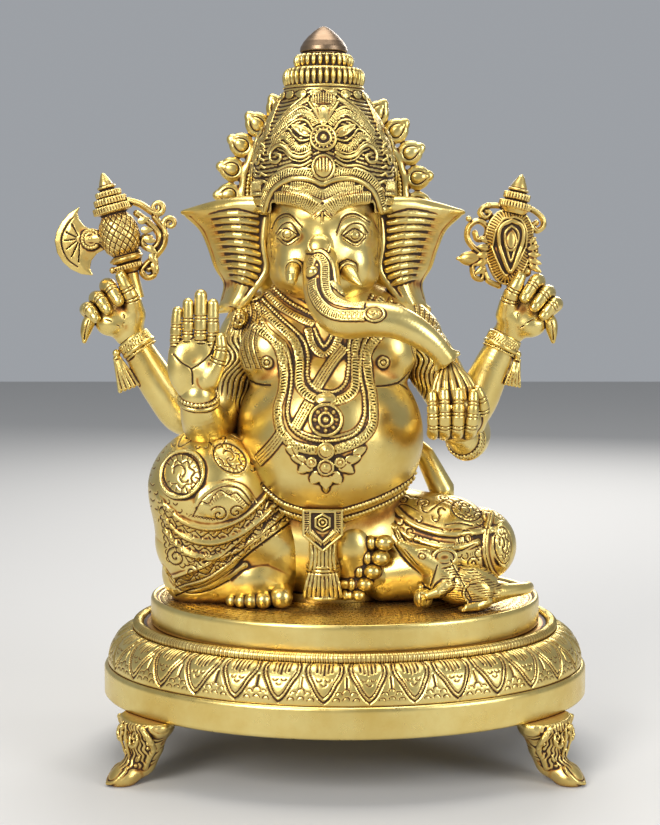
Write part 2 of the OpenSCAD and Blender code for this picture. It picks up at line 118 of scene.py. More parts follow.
def limb(balls):
    return [link(a, b) for a, b in zip(balls[:-1], balls[1:])]


def curve(points, step=3.0, closed=False):
    """A smooth curve through points of any width, sampled about every step."""
    p = np.array(points, float)
    p = np.vstack([p[-1], p, p[0], p[1]]) if closed else np.vstack([2 * p[0] - p[1], p, 2 * p[-1] - p[-2]])
    out = []
    for i in range(1, len(p) - 2):
        a, b, c, d = p[i - 1], p[i], p[i + 1], p[i + 2]
        n = max(2, int(np.linalg.norm((c - b)[:3]) / step) + 1)
        t = (np.arange(n) / n)[:, None]
        out.append(0.5 * (2 * b + (c - a) * t + (2 * a - 5 * b + 4 * c - d) * t ** 2
                          + (3 * b - a - 3 * c + d) * t ** 3))
    if not closed:
        out.append(p[-2][None])
    return np.vstack(out)


def even(points, pitch):
    """The same path, resampled at an even pitch."""
    p = np.asarray(points, float)
    s = np.concatenate([[0], np.cumsum(np.linalg.norm(np.diff(p[:, :3], axis=0), axis=1))])
    n = max(2, int(round(s[-1] / pitch)) + 1)
    at = np.linspace(0, s[-1], n)
    return np.stack([np.interp(at, s, p[:, i]) for i in range(p.shape[1])], 1)


def tube(points, radius):
    """A limb of even or given radii along a path."""
    p = np.asarray(points, float)
    r = np.full(len(p), float(radius)) if np.isscalar(radius) else np.asarray(radius, float)
    return limb(np.column_stack([p[:, :3], r]))


def frame_of(forward, up=(0, 0, 1)):
    """Columns are side, forward and up axes, for turned shapes."""
    f = np.array(forward, float)
    f /= np.linalg.norm(f)
    s = np.cross(f, np.array(up, float))
    if np.linalg.norm(s) < 1e-6:
        s = np.cross(f, vec(1, 0, 0))
    s /= np.linalg.norm(s)
    return np.column_stack([s, f, np.cross(s, f)])


def slab(centre, half, turn=np.eye(3), rounding=1.0):
    """A box with rounded edges."""
    centre, half = np.array(centre, float), np.array(half, float)
    inner = half - rounding
    reach = np.abs(turn) @ half

    def distance(x, y, z):
        p = [x - centre[0], y - centre[1], z - centre[2]]
        q = [np.abs(turn[0][i] * p[0] + turn[1][i] * p[1] + turn[2][i] * p[2]) - inner[i] for i in range(3)]
        outside = np.sqrt(sum(np.maximum(k, 0.0) ** 2 for k in q))
        inside = np.minimum(np.maximum(np.maximum(q[0], q[1]), q[2]), 0.0)
        return outside + inside - rounding

    return centre - reach, centre + reach, distance


def spun(centre, outline, axis=(0, 0, 1)):
    """A solid of revolution. The outline is (radius, height) points from foot to top."""
    centre = np.array(centre, float)
    turn = frame_of((0, 1, 0), axis) if tuple(axis) == (0, 0, 1) else frame_of(perpendicular(axis), axis)
    o = np.array(outline, float)
    o = np.vstack([[0, o[0][1]], o, [0, o[-1][1]]])
    reach = float(np.abs(o).max()) + float(o[:, 0].max())

    def distance(x, y, z):
        p = [x - centre[0], y - centre[1], z - centre[2]]
        q = [turn[0][i] * p[0] + turn[1][i] * p[1] + turn[2][i] * p[2] for i in range(3)]
        r, h = np.sqrt(q[0] ** 2 + q[1] ** 2), q[2]
        r, h = np.broadcast_arrays(r, h)
        best = np.full(r.shape, FAR, np.float32)
        inside = np.zeros(r.shape, bool)
        for a, b in zip(o[:-1], o[1:]):
            e = b - a
            t = np.clip(((r - a[0]) * e[0] + (h - a[1]) * e[1]) / max(e @ e, 1e-9), 0.0, 1.0)
            best = np.minimum(best, (r - a[0] - t * e[0]) ** 2 + (h - a[1] - t * e[1]) ** 2)
            crosses = ((a[1] <= h) != (b[1] <= h))
            if abs(e[1]) > 1e-9:
                inside ^= crosses & (r < a[0] + (h - a[1]) * e[0] / e[1])
        return np.where(inside, -1.0, 1.0) * np.sqrt(best)

    return centre - reach, centre + reach, distance


def perpendicular(axis):
    a = np.array(axis, float)
    p = np.cross(a, (0, 0, 1)) if abs(a[2]) < 0.9 * np.linalg.norm(a) else np.cross(a, (0, 1, 0))
    return p / np.linalg.norm(p)


class Clay:
    """A box of signed distances that shapes are blended into."""

    def __init__(self, low, high, voxel):
        self.voxel = voxel * COARSE
        self.low = np.array(low, float)
        self.count = (np.ceil((np.array(high, float) - self.low) / self.voxel) + 1).astype(int)
        self.d = np.full(self.count, FAR, np.float32)

    def window(self, low, high):
        a = np.clip(np.floor((low - self.low) / self.voxel).astype(int), 0, self.count)
        b = np.clip(np.ceil((high - self.low) / self.voxel).astype(int) + 1, 0, self.count)
        axes = [(self.low[i] + self.voxel * np.arange(a[i], b[i])).astype(np.float32) for i in range(3)]
        return tuple(slice(a[i], b[i]) for i in range(3)), axes

    def _gather(self, shapes, margin):
        shapes = shapes if isinstance(shapes, list) else [shapes]
        low = np.min([s[0] for s in shapes], axis=0) - margin
        high = np.max([s[1] for s in shapes], axis=0) + margin
        span, _ = self.window(low, high)
        base = [s.start for s in span]
        held = np.full([s.stop - s.start for s in span], FAR, np.float32)
        if held.size:
            for s_low, s_high, distance in shapes:
                part, axes = self.window(s_low - margin, s_high + margin)
                inner = tuple(slice(p.start - o, p.stop - o) for p, o in zip(part, base))
                if held[inner].size:
                    found = distance(axes[0][:, None, None], axes[1][None, :, None], axes[2][None, None, :])
                    np.minimum(held[inner], found, out=held[inner])
        return span, held

    def add(self, shapes, blend=0.0):
        span, held = self._gather(shapes, 3.0 * self.voxel + blend)
        self.d[span] = smooth_min(self.d[span], held, blend)
        return self

    def cut(self, shapes, blend=0.0):
        span, held = self._gather(shapes, 3.0 * self.voxel + blend)
        self.d[span] = -smooth_min(-self.d[span], held, blend)
        return self

    def axes(self):
        return self.window(self.low, self.low + self.count * self.voxel)[1]

    def keep_above(self, z):
        np.maximum(self.d, z - self.axes()[2], out=self.d)
        return self

    def keep_below(self, z):
        np.maximum(self.d, self.axes()[2] - z, out=self.d)
        return self

    def sample(self, points):
        g = (np.asarray(points, float) - self.low) / self.voxel
        g = np.clip(g, 0, self.count - 1.001)
        i = g.astype(int)
        f = (g - i).astype(np.float32)
        total = np.zeros(len(g), np.float32)
        for corner in range(8):
            o = [(corner >> k) & 1 for k in range(3)]
            w = np.prod([f[:, k] if o[k] else 1 - f[:, k] for k in range(3)], axis=0)
            total += w * self.d[i[:, 0] + o[0], i[:, 1] + o[1], i[:, 2] + o[2]]
        return total

    def slope(self, points):
        e = self.voxel
        p = np.asarray(points, float)
        g = np.stack([self.sample(p + e * a) - self.sample(p - e * a) for a in np.eye(3)], 1)
        return g / (np.linalg.norm(g, axis=1, keepdims=True) + 1e-9)

    def land(self, points, direction=(0, 1, 0), sink=0.0):
        """Slide points along a direction until they meet the clay."""
        p = np.array(points, float)[:, :3]
        way = np.array(direction, float)
        way = way / np.linalg.norm(way, axis=-1, keepdims=True)
        for _ in range(60):
            p = p + way * np.clip(self.sample(p), -1.5, 4.0)[:, None] * 0.8
        return p + way * sink

    def met(self, points):
        """Those landed points that did meet the clay and not miss it."""
        return points[np.abs(self.sample(points)) < 1.8]

    def mesh(self):
        grid = openvdb.FloatGrid(FAR)
        grid.copyFromArray(np.clip(self.d, -3 * self.voxel, 3 * self.voxel))
        points, tris, quads = grid.convertToPolygons(isovalue=0.0, adaptivity=0.0)
        return largest_island(points * self.voxel + self.low, quads.astype(np.int64), tris.astype(np.int64))


def smooth_min(a, b, blend):
    if blend <= 0:
        return np.minimum(a, b)
    h = np.clip(0.5 + 0.5 * (b - a) / blend, 0.0, 1.0)
    return b + (a - b) * h - blend * h * (1.0 - h)


# ---------------------------------------------------------------- mesh tools

def edges_of(quads, tris):
    pairs = [quads[:, [i, (i + 1) % 4]] for i in range(4)] + [tris[:, [i, (i + 1) % 3]] for i in range(3)]
    return np.vstack([p for p in pairs if len(p)])


def largest_island(points, quads, tris):
    """Leave out what floats free of the main mesh, such as a bubble closed off inside it."""
    a, b = np.vstack([faces[:, [i, i + 1]] for faces in (quads, tris) if len(faces)
                      for i in range(faces.shape[1] - 1)]).T
    root = np.arange(len(points))
    settled = False
    while not settled:
        joined, low = root.copy(), np.minimum(root[a], root[b])
        np.minimum.at(joined, root[a], low)
        np.minimum.at(joined, root[b], low)
        joined = joined[joined]
        settled = np.array_equal(joined, root)
        root = joined
    keep = root == np.bincount(root).argmax()
    number = np.cumsum(keep) - 1
    return points[keep], number[quads[keep[quads[:, 0]]]], number[tris[keep[tris[:, 0]]]]


def normals_of(points, quads, tris):
    n = np.zeros_like(points)
    for faces in (quads, tris):
        if len(faces):
            a, b, c = points[faces[:, 0]], points[faces[:, 1]], points[faces[:, 2]]
            face_n = np.cross(b - a, c - a)
            if faces.shape[1] == 4:
                face_n = np.cross(c - a, points[faces[:, 3]] - b)
            for k in range(faces.shape[1]):
                for axis in range(3):
                    n[:, axis] += np.bincount(faces[:, k], face_n[:, axis], len(points))
    return n / (np.linalg.norm(n, axis=1, keepdims=True) + 1e-12)


def relaxed(values, edges, rounds, count):
    """Values averaged over their neighbours, a number of times."""
    a, b = edges[:, 0], edges[:, 1]
    weight = np.bincount(a, minlength=count) + np.bincount(b, minlength=count) + 1e-9
    v = values.copy()
    for _ in range(rounds):
        for axis in range(v.shape[1]):
            s = np.bincount(a, v[b, axis], count) + np.bincount(b, v[a, axis], count)
            v[:, axis] = 0.5 * v[:, axis] + 0.5 * s / weight
    return v


def hollows(points, quads, tris, normals, reach):
    """How far each vertex lies under its surroundings, in mm, averaged over reach mm."""
    edges = edges_of(quads, tris)
    step = np.median(np.linalg.norm(points[edges[:, 0]] - points[edges[:, 1]], axis=1))
    rounds = int(np.clip((reach / step) ** 2, 2, 60))
    smooth = relaxed(points, edges, rounds, len(points))
    return np.einsum("ij,ij->i", smooth - points, normals)


def piece(name, points, quads, tris, material, nodes=(), stain=0.0, lift=None):
    """Make a Blender object from millimetres in the figure's frame, with its patina."""
    normals = normals_of(points, quads, tris)
    fine = hollows(points, quads, tris, normals, 1.6)
    broad = hollows(points, quads, tris, normals, 5.0)
    dirt = np.clip(fine / 0.10, -0.6, 1.2) * 0.75 + np.clip(broad / 0.55, -0.5, 1.0) * 0.55 + stain
    mesh = bpy.data.meshes.new(name)
    mesh.vertices.add(len(points))
    where = points + (vec(0, BACK, SEAT) if lift is None else vec(0, 0, lift))
    mesh.vertices.foreach_set("co", (where * MM).astype(np.float32).ravel())
    loops = np.concatenate([quads.ravel(), tris.ravel()]).astype(np.int32)
    mesh.loops.add(len(loops))
    mesh.loops.foreach_set("vertex_index", loops)
    mesh.polygons.add(len(quads) + len(tris))
    starts = np.concatenate([4 * np.arange(len(quads)), 4 * len(quads) + 3 * np.arange(len(tris))])
    mesh.polygons.foreach_set("loop_start", starts.astype(np.int32))
    mesh.update(calc_edges=True)
    mesh.shade_smooth()
    layer = mesh.attributes.new("patina", "FLOAT", "POINT")
    layer.data.foreach_set("value", np.clip(dirt, 0.0, 1.0).astype(np.float32))
    shine = mesh.attributes.new("worn", "FLOAT", "POINT")
    shine.data.foreach_set("value", np.clip(-fine / 0.08, 0.0, 1.0).astype(np.float32))
    mesh.materials.append(material)
    thing = bpy.data.objects.new(name, mesh)
    bpy.context.scene.collection.objects.link(thing)
    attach(thing, "root")
    if nodes:
        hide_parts(*nodes)
    return thing


def clay_piece(name, clay, carve=None, stain=0.0, material=None):
    """Mesh the clay, let carve(points, normals) push it along its normals, and make the piece
    that stands for the node of the same name."""
    points, quads, tris = clay.mesh()
    if carve is not None:
        normals = normals_of(points, quads, tris)
        depth = carve(points, normals)
        points = points + normals * depth[:, None]
    return piece(name, points, quads, tris, material or POLISHED, [name], stain)


# ---------------------------------------------------------------- engraving

class Engraving:
    """A flat sheet of cut and raised lines, in mm, that is pressed into a surface."""

    def __init__(self, width, height, per_mm=6.0):
        self.size = (width, height)
        self.per_mm = per_mm
        self.h = np.zeros((int(width * per_mm) + 1, int(height * per_mm) + 1), np.float32)

    def _stroke(self, points, width, level):
        p = np.asarray(points, float)
        reach = width * 1.2
        for a, b in zip(p[:-1], p[1:]):
            low = np.floor((np.minimum(a, b) - reach) * self.per_mm).astype(int)
            high = np.ceil((np.maximum(a, b) + reach) * self.per_mm).astype(int) + 1
            i0, j0 = np.maximum(low, 0)
            i1, j1 = np.minimum(high, self.h.shape)
            if i0 >= i1 or j0 >= j1:
                continue
            x = (np.arange(i0, i1) / self.per_mm)[:, None] - a[0]
            y = (np.arange(j0, j1) / self.per_mm)[None, :] - a[1]
            e = b - a
            t = np.clip((x * e[0] + y * e[1]) / max(e @ e, 1e-9), 0.0, 1.0)
            gap = np.sqrt((x - t * e[0]) ** 2 + (y - t * e[1]) ** 2)
            shape = level * (1.0 - smoothstep(0.2 * width, 0.8 * width, gap))
            part = self.h[i0:i1, j0:j1]
            self.h[i0:i1, j0:j1] = np.minimum(part, shape) if level < 0 else np.maximum(part, shape)

    def cut(self, points, width=0.8, depth=0.6):
        self._stroke(points, width, -depth)
        return self

    def raise_line(self, points, width=1.2, height=0.5):
        self._stroke(points, width, height)
        return self

    def ring(self, centre, radius, width=0.8, depth=0.6, squash=1.0):
        a = np.linspace(0, 2 * math.pi, max(12, int(radius * 6)))
        return self.cut(np.column_stack([centre[0] + radius * np.cos(a),
                                         centre[1] + squash * radius * np.sin(a)]), width, depth)

    def spiral(self, centre, radius, turns, start=0.0, hand=1, width=0.8, depth=0.6):
        t = np.linspace(0, 1, int(24 * turns) + 2)
        r = radius * (1.0 - t) ** 0.8 + 0.3
        a = start + hand * 2 * math.pi * turns * t
        return self.cut(np.column_stack([centre[0] + r * np.cos(a), centre[1] + r * np.sin(a)]), width, depth)

    def hatch(self, path, inner, outer, pitch, width=0.6, depth=0.4, lean=0.0):
        """Short strokes across a path, from inner to outer mm off its left side."""
        p = even(np.asarray(path, float), pitch)
        along = np.gradient(p, axis=0)
        along /= np.linalg.norm(along, axis=1, keepdims=True) + 1e-9
        left = np.column_stack([-along[:, 1], along[:, 0]])
        for q, t, n in zip(p, along, left):
            self.cut([q + n * inner, q + n * outer + t * lean], width, depth)
        return self

    def press(self, u, v):
        """Heights at (u, v) in mm; the sheet repeats in both directions."""
        gu = np.mod(u, self.size[0]) * self.per_mm
        gv = np.mod(v, self.size[1]) * self.per_mm
        i, j = gu.astype(int), gv.astype(int)
        fu, fv = gu - i, gv - j
        i1 = np.minimum(i + 1, self.h.shape[0] - 1)
        j1 = np.minimum(j + 1, self.h.shape[1] - 1)
        h = self.h
        return ((h[i, j] * (1 - fu) + h[i1, j] * fu) * (1 - fv)
                + (h[i, j1] * (1 - fu) + h[i1, j1] * fu) * fv)


class FrontSheet(Engraving):
    """An engraving drawn in the figure's own x and z, for whatever faces the front."""

    def __init__(self, low, high, per_mm=5.0):
        super().__init__(high[0] - low[0], high[1] - low[1], per_mm)
        self.low = np.array(low, float)

    def _stroke(self, points, width, level):
        super()._stroke(np.asarray(points, float) - self.low, width, level)

    def on(self, points, normals, facing=0.1):
        x, z = points[:, 0] - self.low[0], points[:, 2] - self.low[1]
        inside = (x > 0) & (x < self.size[0]) & (z > 0) & (z < self.size[1])
        return self.press(x, z) * inside * smoothstep(facing, facing + 0.3, -normals[:, 1])


def offset(path, distance):
    """A flat path moved to its left."""
    p = np.asarray(path, float)
    along = np.gradient(p, axis=0)
    along /= np.linalg.norm(along, axis=1, keepdims=True) + 1e-9
    return p + distance * np.column_stack([-along[:, 1], along[:, 0]])


def arc(centre, radius, start, end, squash=1.0, n=16):
    a = np.radians(np.linspace(start, end, n))
    return np.column_stack([centre[0] + radius * np.cos(a), centre[1] + squash * radius * np.sin(a)])


# ---------------------------------------------------------------- materials

def brass(name, pale, deep, roughness, tarnish):
    """Polished brass whose hollows keep a dark lacquer with a reddish edge, and whose colour is darkened
    further with painted shade from ambient occlusion where surfaces lie close together.
    """
    material = bpy.data.materials.new(name)
    material.use_nodes = True
    nodes, links = material.node_tree.nodes, material.node_tree.links
    surface = nodes["Principled BSDF"]

    def node(kind, **values):
        n = nodes.new(kind)
        for key, value in values.items():
            if key in n.inputs:
                n.inputs[key].default_value = value
            else:
                setattr(n, key, value)
        return n

    def maths(operation, a, b, clamp=False):
        n = node("ShaderNodeMath", operation=operation, use_clamp=clamp)
        for socket, value in zip(n.inputs, (a, b)):
            if isinstance(value, (int, float)):
                socket.default_value = value
            else:
                links.new(value, socket)
        return n.outputs[0]

    place = node("ShaderNodeTexCoord").outputs["Object"]

    def noise(scale, detail=4.0, rough=0.6):
        n = node("ShaderNodeTexNoise")
        links.new(place, n.inputs["Vector"])
        n.inputs["Scale"].default_value = scale
        n.inputs["Detail"].default_value = detail
        n.inputs["Roughness"].default_value = rough
        return n.outputs["Fac"]

    patina = node("ShaderNodeAttribute", attribute_name="patina").outputs["Fac"]
    worn = node("ShaderNodeAttribute", attribute_name="worn").outputs["Fac"]
    # Ambient occlusion, whose darkness goes into the colour below as painted shade in crevices, under things
    # and between nearby parts
    occlusion_shade = node("ShaderNodeAmbientOcclusion", samples=6, Distance=0.007).outputs["AO"]
    broad, cloudy, fine = noise(28.0), noise(120.0), noise(900.0, 3.0)

    # How much lacquer is left in cut lines and in loose clouds, with painted shade from ambient occlusion in
    # crevices and between nearby parts added in
    left = maths("MULTIPLY", patina, 1.15)
    # Painted shade: the less light ambient occlusion lets in, the darker the colour
    painted_shade = maths("MULTIPLY", maths("SUBTRACT", 0.62, occlusion_shade), 1.7, clamp=True)
    left = maths("ADD", left, painted_shade)
    left = maths("ADD", left, maths("MULTIPLY", maths("SUBTRACT", cloudy, 0.5), 0.30 + tarnish))
    left = maths("ADD", left, maths("MULTIPLY", maths("SUBTRACT", fine, 0.5), 0.18))
    left = maths("SUBTRACT", left, maths("MULTIPLY", worn, 0.35))
    left = maths("ADD", left, tarnish * 0.35, clamp=True)

    metal = node("ShaderNodeMix", data_type="RGBA")
    links.new(maths("MULTIPLY", maths("SUBTRACT", broad, 0.32), 2.4, clamp=True), metal.inputs["Factor"])
    metal.inputs["A"].default_value = (*pale, 1.0)
    metal.inputs["B"].default_value = (*deep, 1.0)

    ramp = node("ShaderNodeValToRGB")
    links.new(left, ramp.inputs["Fac"])
    stops = ((0.0, (1.0, 1.0, 1.0)), (0.22, (0.95, 0.86, 0.72)), (0.45, (0.62, 0.36, 0.20)),
             (0.70, (0.16, 0.085, 0.06)), (1.0, (0.045, 0.028, 0.028)))
    while len(ramp.color_ramp.elements) < len(stops):
        ramp.color_ramp.elements.new(0.5)
    for element, (at, colour) in zip(ramp.color_ramp.elements, stops):
        element.position = at
        element.color = (*colour, 1.0)
    tint = node("ShaderNodeMix", data_type="RGBA", blend_type="MULTIPLY")
    tint.inputs["Factor"].default_value = 1.0
    links.new(metal.outputs["Result"], tint.inputs["A"])
    links.new(ramp.outputs["Color"], tint.inputs["B"])
    links.new(tint.outputs["Result"], surface.inputs["Base Color"])

    links.new(maths("SUBTRACT", 1.0, maths("MULTIPLY", left, 0.55)), surface.inputs["Metallic"])
    rough = maths("ADD", roughness, maths("MULTIPLY", left, 0.30))
    rough = maths("ADD", rough, maths("MULTIPLY", maths("SUBTRACT", cloudy, 0.5), 0.22))
    links.new(rough, surface.inputs["Roughness"])

    grain = maths("ADD", maths("MULTIPLY", fine, 0.6), maths("MULTIPLY", noise(260.0), 1.0))
    bump = node("ShaderNodeBump", Strength=0.10, Distance=0.0006)
    links.new(grain, bump.inputs["Height"])
    links.new(bump.outputs["Normal"], surface.inputs["Normal"])
    return material


POLISHED = brass("polished_brass", (0.82, 0.67, 0.26), (0.69, 0.49, 0.13), 0.30, 0.0)
AGED = brass("aged_brass", (0.78, 0.61, 0.22), (0.64, 0.42, 0.11), 0.34, 0.16)
COPPERY = brass("copper_tinted_brass", (0.27, 0.19, 0.12), (0.20, 0.13, 0.08), 0.40, 0.06)
ZINC = brass("zinc_plated_steel", (0.72, 0.73, 0.74), (0.62, 0.63, 0.64), 0.35, 0.0)


# ---------------------------------------------------------------- base

def oval_ring(outline, pitch, push=None):
    """Sweep a closed (radius, height) outline round the oval. push(share round the oval,
    index along the outline) gives each vertex's height off the surface."""
    around = int(2 * math.pi * RIM_R * 0.9 / (pitch * COARSE))
    fine = np.linspace(0, 2 * math.pi, 4001)
    length = np.concatenate([[0], np.cumsum(np.hypot(np.diff(np.cos(fine)), ASPECT * np.diff(np.sin(fine))))])
    share = np.arange(around) / around
    angle = np.interp(share * length[-1], length, fine)
    r, z = outline[:, 0], outline[:, 1]
    points = np.stack([np.outer(np.cos(angle), r), np.outer(ASPECT * np.sin(angle), r),
                       np.broadcast_to(z, (around, len(z)))], -1)
    count = len(outline)
    i, j = np.meshgrid(np.arange(around), np.arange(count), indexing="ij")
    i2, j2 = (i + 1) % around, (j + 1) % count
    quads = np.stack([i * count + j, i2 * count + j, i2 * count + j2, i * count + j2], -1).reshape(-1, 4)
    flat = points.reshape(-1, 3)
    none = np.zeros((0, 3), np.int64)
    if push is not None:
        normals = normals_of(flat, quads, none)
        height = push(share[:, None], np.arange(count)[None, :])
        flat = flat + normals * np.broadcast_to(height, (around, count)).reshape(-1, 1)
    return flat, quads, none


def dense(outline, pitch):
    """Add points along the runs of an outline; each row is (radius, height, pitch factor)."""
    out = []
    for a, b in zip(outline, outline[1:] + outline[:1]):
        n = max(1, int(round(math.dist(a[:2], b[:2]) / (pitch * a[2] * COARSE))))
        for k in range(n):
            out.append((a[0] + (b[0] - a[0]) * k / n, a[1] + (b[1] - a[1]) * k / n))
    return np.array(out)


LOTUS_PETALS = 32
RIM_RIBS = 520                   # round the bead at the deck's edge
FLOOR_SCALES, SCALE_ROW = 96, 5.2   # how many in a ring, and how wide a ring is
BEAD_R, BEAD_Z = RIM_R - 21.8, DECK_Z - 0.6
LOTUS_LOW, LOTUS_RISE = LOTUS_Z + 1.0, 22.0


def lotus_petal(pitch, height):
    """One petal hanging from the top edge, drawn on its own sheet; y runs down the band."""
    s = Engraving(pitch, height, 8.0)
    half = pitch / 2
    t = np.linspace(0.0, 1.0, 18)
    for k, (widest, foot) in enumerate(((0.46, 0.96), (0.38, 0.86))):
        swell = 0.86 + 0.28 * np.sin(math.pi * np.minimum(t * 1.6, 1.0)) / 2
        side = pitch * widest * (1.0 - t ** 2.1) ** 0.75 * swell
        down = height * foot * t
        for sign in (-1, 1):
            s.cut(np.column_stack([half + sign * side, down]), 1.15 - 0.25 * k, 0.85 - 0.2 * k)
    for k in range(-2, 3):
        x = half + k * pitch * 0.095
        s.cut([(x, 1.0), (x - k * 0.25, height * (0.38 - 0.035 * abs(k)))], 0.85, 0.6)
    for x, y in ((-0.1, 0.47), (0.1, 0.47), (0.0, 0.56)):
        s.cut(arc((half + x * pitch, height * y), 1.6, 20, 160), 0.6, 0.4)
    for edge in (0.0, pitch):
        s.cut([(edge, height * 0.42), (edge, height * 0.66)], 1.0, 0.7)
        for x, y in ((-0.16, 0.80), (0.16, 0.80), (0.0, 0.74), (0.0, 0.90), (-0.22, 0.92), (0.22, 0.92)):
            s.cut(arc((edge + x * pitch, height * y), 1.9, 190, 350), 0.6, 0.45)
    return s


def make_base():
    curve_steps = [(RIM_R - 22 + 19.5 * math.cos(a), LOTUS_LOW + LOTUS_RISE * math.sin(a))
                   for a in map(math.radians, range(0, 79, 6))]
    bead = [(BEAD_R + 3.4 * math.cos(a), BEAD_Z + 3.2 * math.sin(a))
            for a in map(math.radians, range(-50, 171, 20))]
    outline = ([(RIM_R - 5, FOOT_H, 3.0), (RIM_R - 0.8, FOOT_H, 2.0), (RIM_R, FOOT_H + 0.9, 2.0)]
               + [(RIM_R, LOTUS_Z - 2.2, 1.0), (RIM_R - 0.6, LOTUS_Z - 0.8, 1.0), (RIM_R - 2.0, LOTUS_Z, 1.0),
                  (RIM_R - 3.2, LOTUS_Z - 0.3, 1.0)]
               + [(r, z, 1.0) for r, z in curve_steps]
               + [(RIM_R - 19.8, DECK_Z - 3.6, 1.0)]
               + [(r, z, 1.0) for r, z in bead]
               + [(RIM_R - 26.5, DECK_Z - 0.2, 2.0), (RIM_R - 52, DECK_Z, 3.0), (RIM_R - 52, DECK_Z - 5, 6.0),
                  (RIM_R - 34, DECK_Z - 5, 6.0), (RIM_R - 13, LOTUS_Z + 3, 6.0),
                  (RIM_R - 5, LOTUS_Z - 4, 6.0)])
    line = dense(outline, 0.62)
    first = np.argmin(np.hypot(line[:, 0] - curve_steps[0][0], line[:, 1] - curve_steps[0][1]))
    last = np.argmin(np.hypot(line[:, 0] - curve_steps[-1][0], line[:, 1] - curve_steps[-1][1]))
    down = np.zeros(len(line))
    run = np.concatenate([[0], np.cumsum(np.hypot(*np.diff(line[first:last + 1], axis=0).T))])
    down[first:last + 1] = run[-1] - run
    on_band = np.zeros(len(line))
    on_band[first:last + 1] = 1.0
    pitch = 2 * math.pi * math.sqrt((RIM_R ** 2 + (RIM_R * ASPECT) ** 2) / 2) * 0.955 / LOTUS_PETALS
    petal = lotus_petal(pitch, run[-1] + 0.01)
    bead_mid = np.hypot(line[:, 0] - BEAD_R, line[:, 1] - BEAD_Z)
    on_bead = (bead_mid < 4.2) & (line[:, 0] > RIM_R - 25.5) & (line[:, 1] > DECK_Z - 3)

    def push(share, index):
        u = share * LOTUS_PETALS * pitch
        v = down[index]
        height = 1.35 * petal.press(u, v) * on_band[index]
        middle = np.abs(np.mod(share * LOTUS_PETALS, 1.0) - 0.5) * 2
        bulge = on_band[index] * 0.5 * (1 - middle ** 2) * np.sin(math.pi * np.clip(v / run[-1], 0, 1))
        height = height + bulge
        ribs = np.sin(share * 2 * math.pi * RIM_RIBS) * on_bead[index] * 0.28
        return height + ribs

    flat, quads, none = oval_ring(line, 0.66, push)
    # The chased band keeps more lacquer than the plain metal above and below it
    z = flat[:, 2]
    stain = 0.22 * smoothstep(LOTUS_Z, LOTUS_Z + 1.5, z) * (1 - smoothstep(DECK_Z - 4.5, DECK_Z - 3.5, z))
    piece("base_rim", flat, quads, none, POLISHED, ["base_rim"], stain, lift=0.0)

    # The plinth drum: plain side, rounded edge, and a floor cut with fish scales
    side = dense([(PLINTH_R - 1.2, DECK_Z + 0.2, 2.0), (PLINTH_R, DECK_Z + 1.4, 2.0),
                  (PLINTH_R, DECK_Z + 15.6, 1.0), (PLINTH_R - 0.5, DECK_Z + 17.2, 1.0),
                  (PLINTH_R - 1.6, DECK_Z + 17.9, 1.0), (PLINTH_R - 3.2, DECK_Z + 17.2, 1.0),
                  (PLINTH_R - 3.8, SEAT, 1.0), (PLINTH_R - 6.0, SEAT, 1.0), (PLINTH_R - 40, SEAT, 2.5),
                  (4.0, SEAT, 3.0), (4.0, SEAT - 6, 6.0), (PLINTH_R - 6, SEAT - 6, 4.0),
                  (PLINTH_R - 6, DECK_Z + 0.2, 3.0)], 0.8)
    on_floor = (np.abs(side[:, 1] - SEAT) < 0.3) & (side[:, 0] < PLINTH_R - 4)

    def scales(share, index):
        r = side[index, 0]
        ring = (PLINTH_R - 6.5 - r) / SCALE_ROW
        row = np.floor(ring)
        turn = share * FLOOR_SCALES + 0.5 * np.mod(row, 2)
        across, along = np.abs(np.mod(turn, 1.0) - 0.5) * 2, ring - row
        edge = np.abs(along - 0.85 * np.sqrt(np.clip(1 - across ** 2, 0, 1)))
        cut = -0.5 * (1 - smoothstep(0.05, 0.16, edge))
        cut = cut - 0.25 * (1 - smoothstep(0.05, 0.14, np.abs(edge - 0.3)))
        border = -0.5 * (np.abs(r - (PLINTH_R - 6.0)) < 0.7)
        return np.where(on_floor[index], np.where(ring > 0, cut, border), 0.0)

    flat, quads, none = oval_ring(side, 0.95, scales)
    piece("plinth", flat, quads, none, POLISHED, ["plinth"], lift=0.0)


def spiral_tube(centre, radius, turns, start, hand, thick, turn, taper=0.55):
    """A scroll: a tube that winds in to its centre, in the plane of turn's first two columns."""
    t = np.linspace(0, 1, int(18 * turns) + 3)
    r = radius * (1 - t) ** 0.75
    a = start + hand * 2 * math.pi * turns * t
    flat = np.column_stack([r * np.cos(a), r * np.sin(a)])
    p = np.array(centre, float) + flat[:, :1] * turn[:, 0] + flat[:, 1:] * turn[:, 1]
    return tube(p, thick * (1 - taper * t))


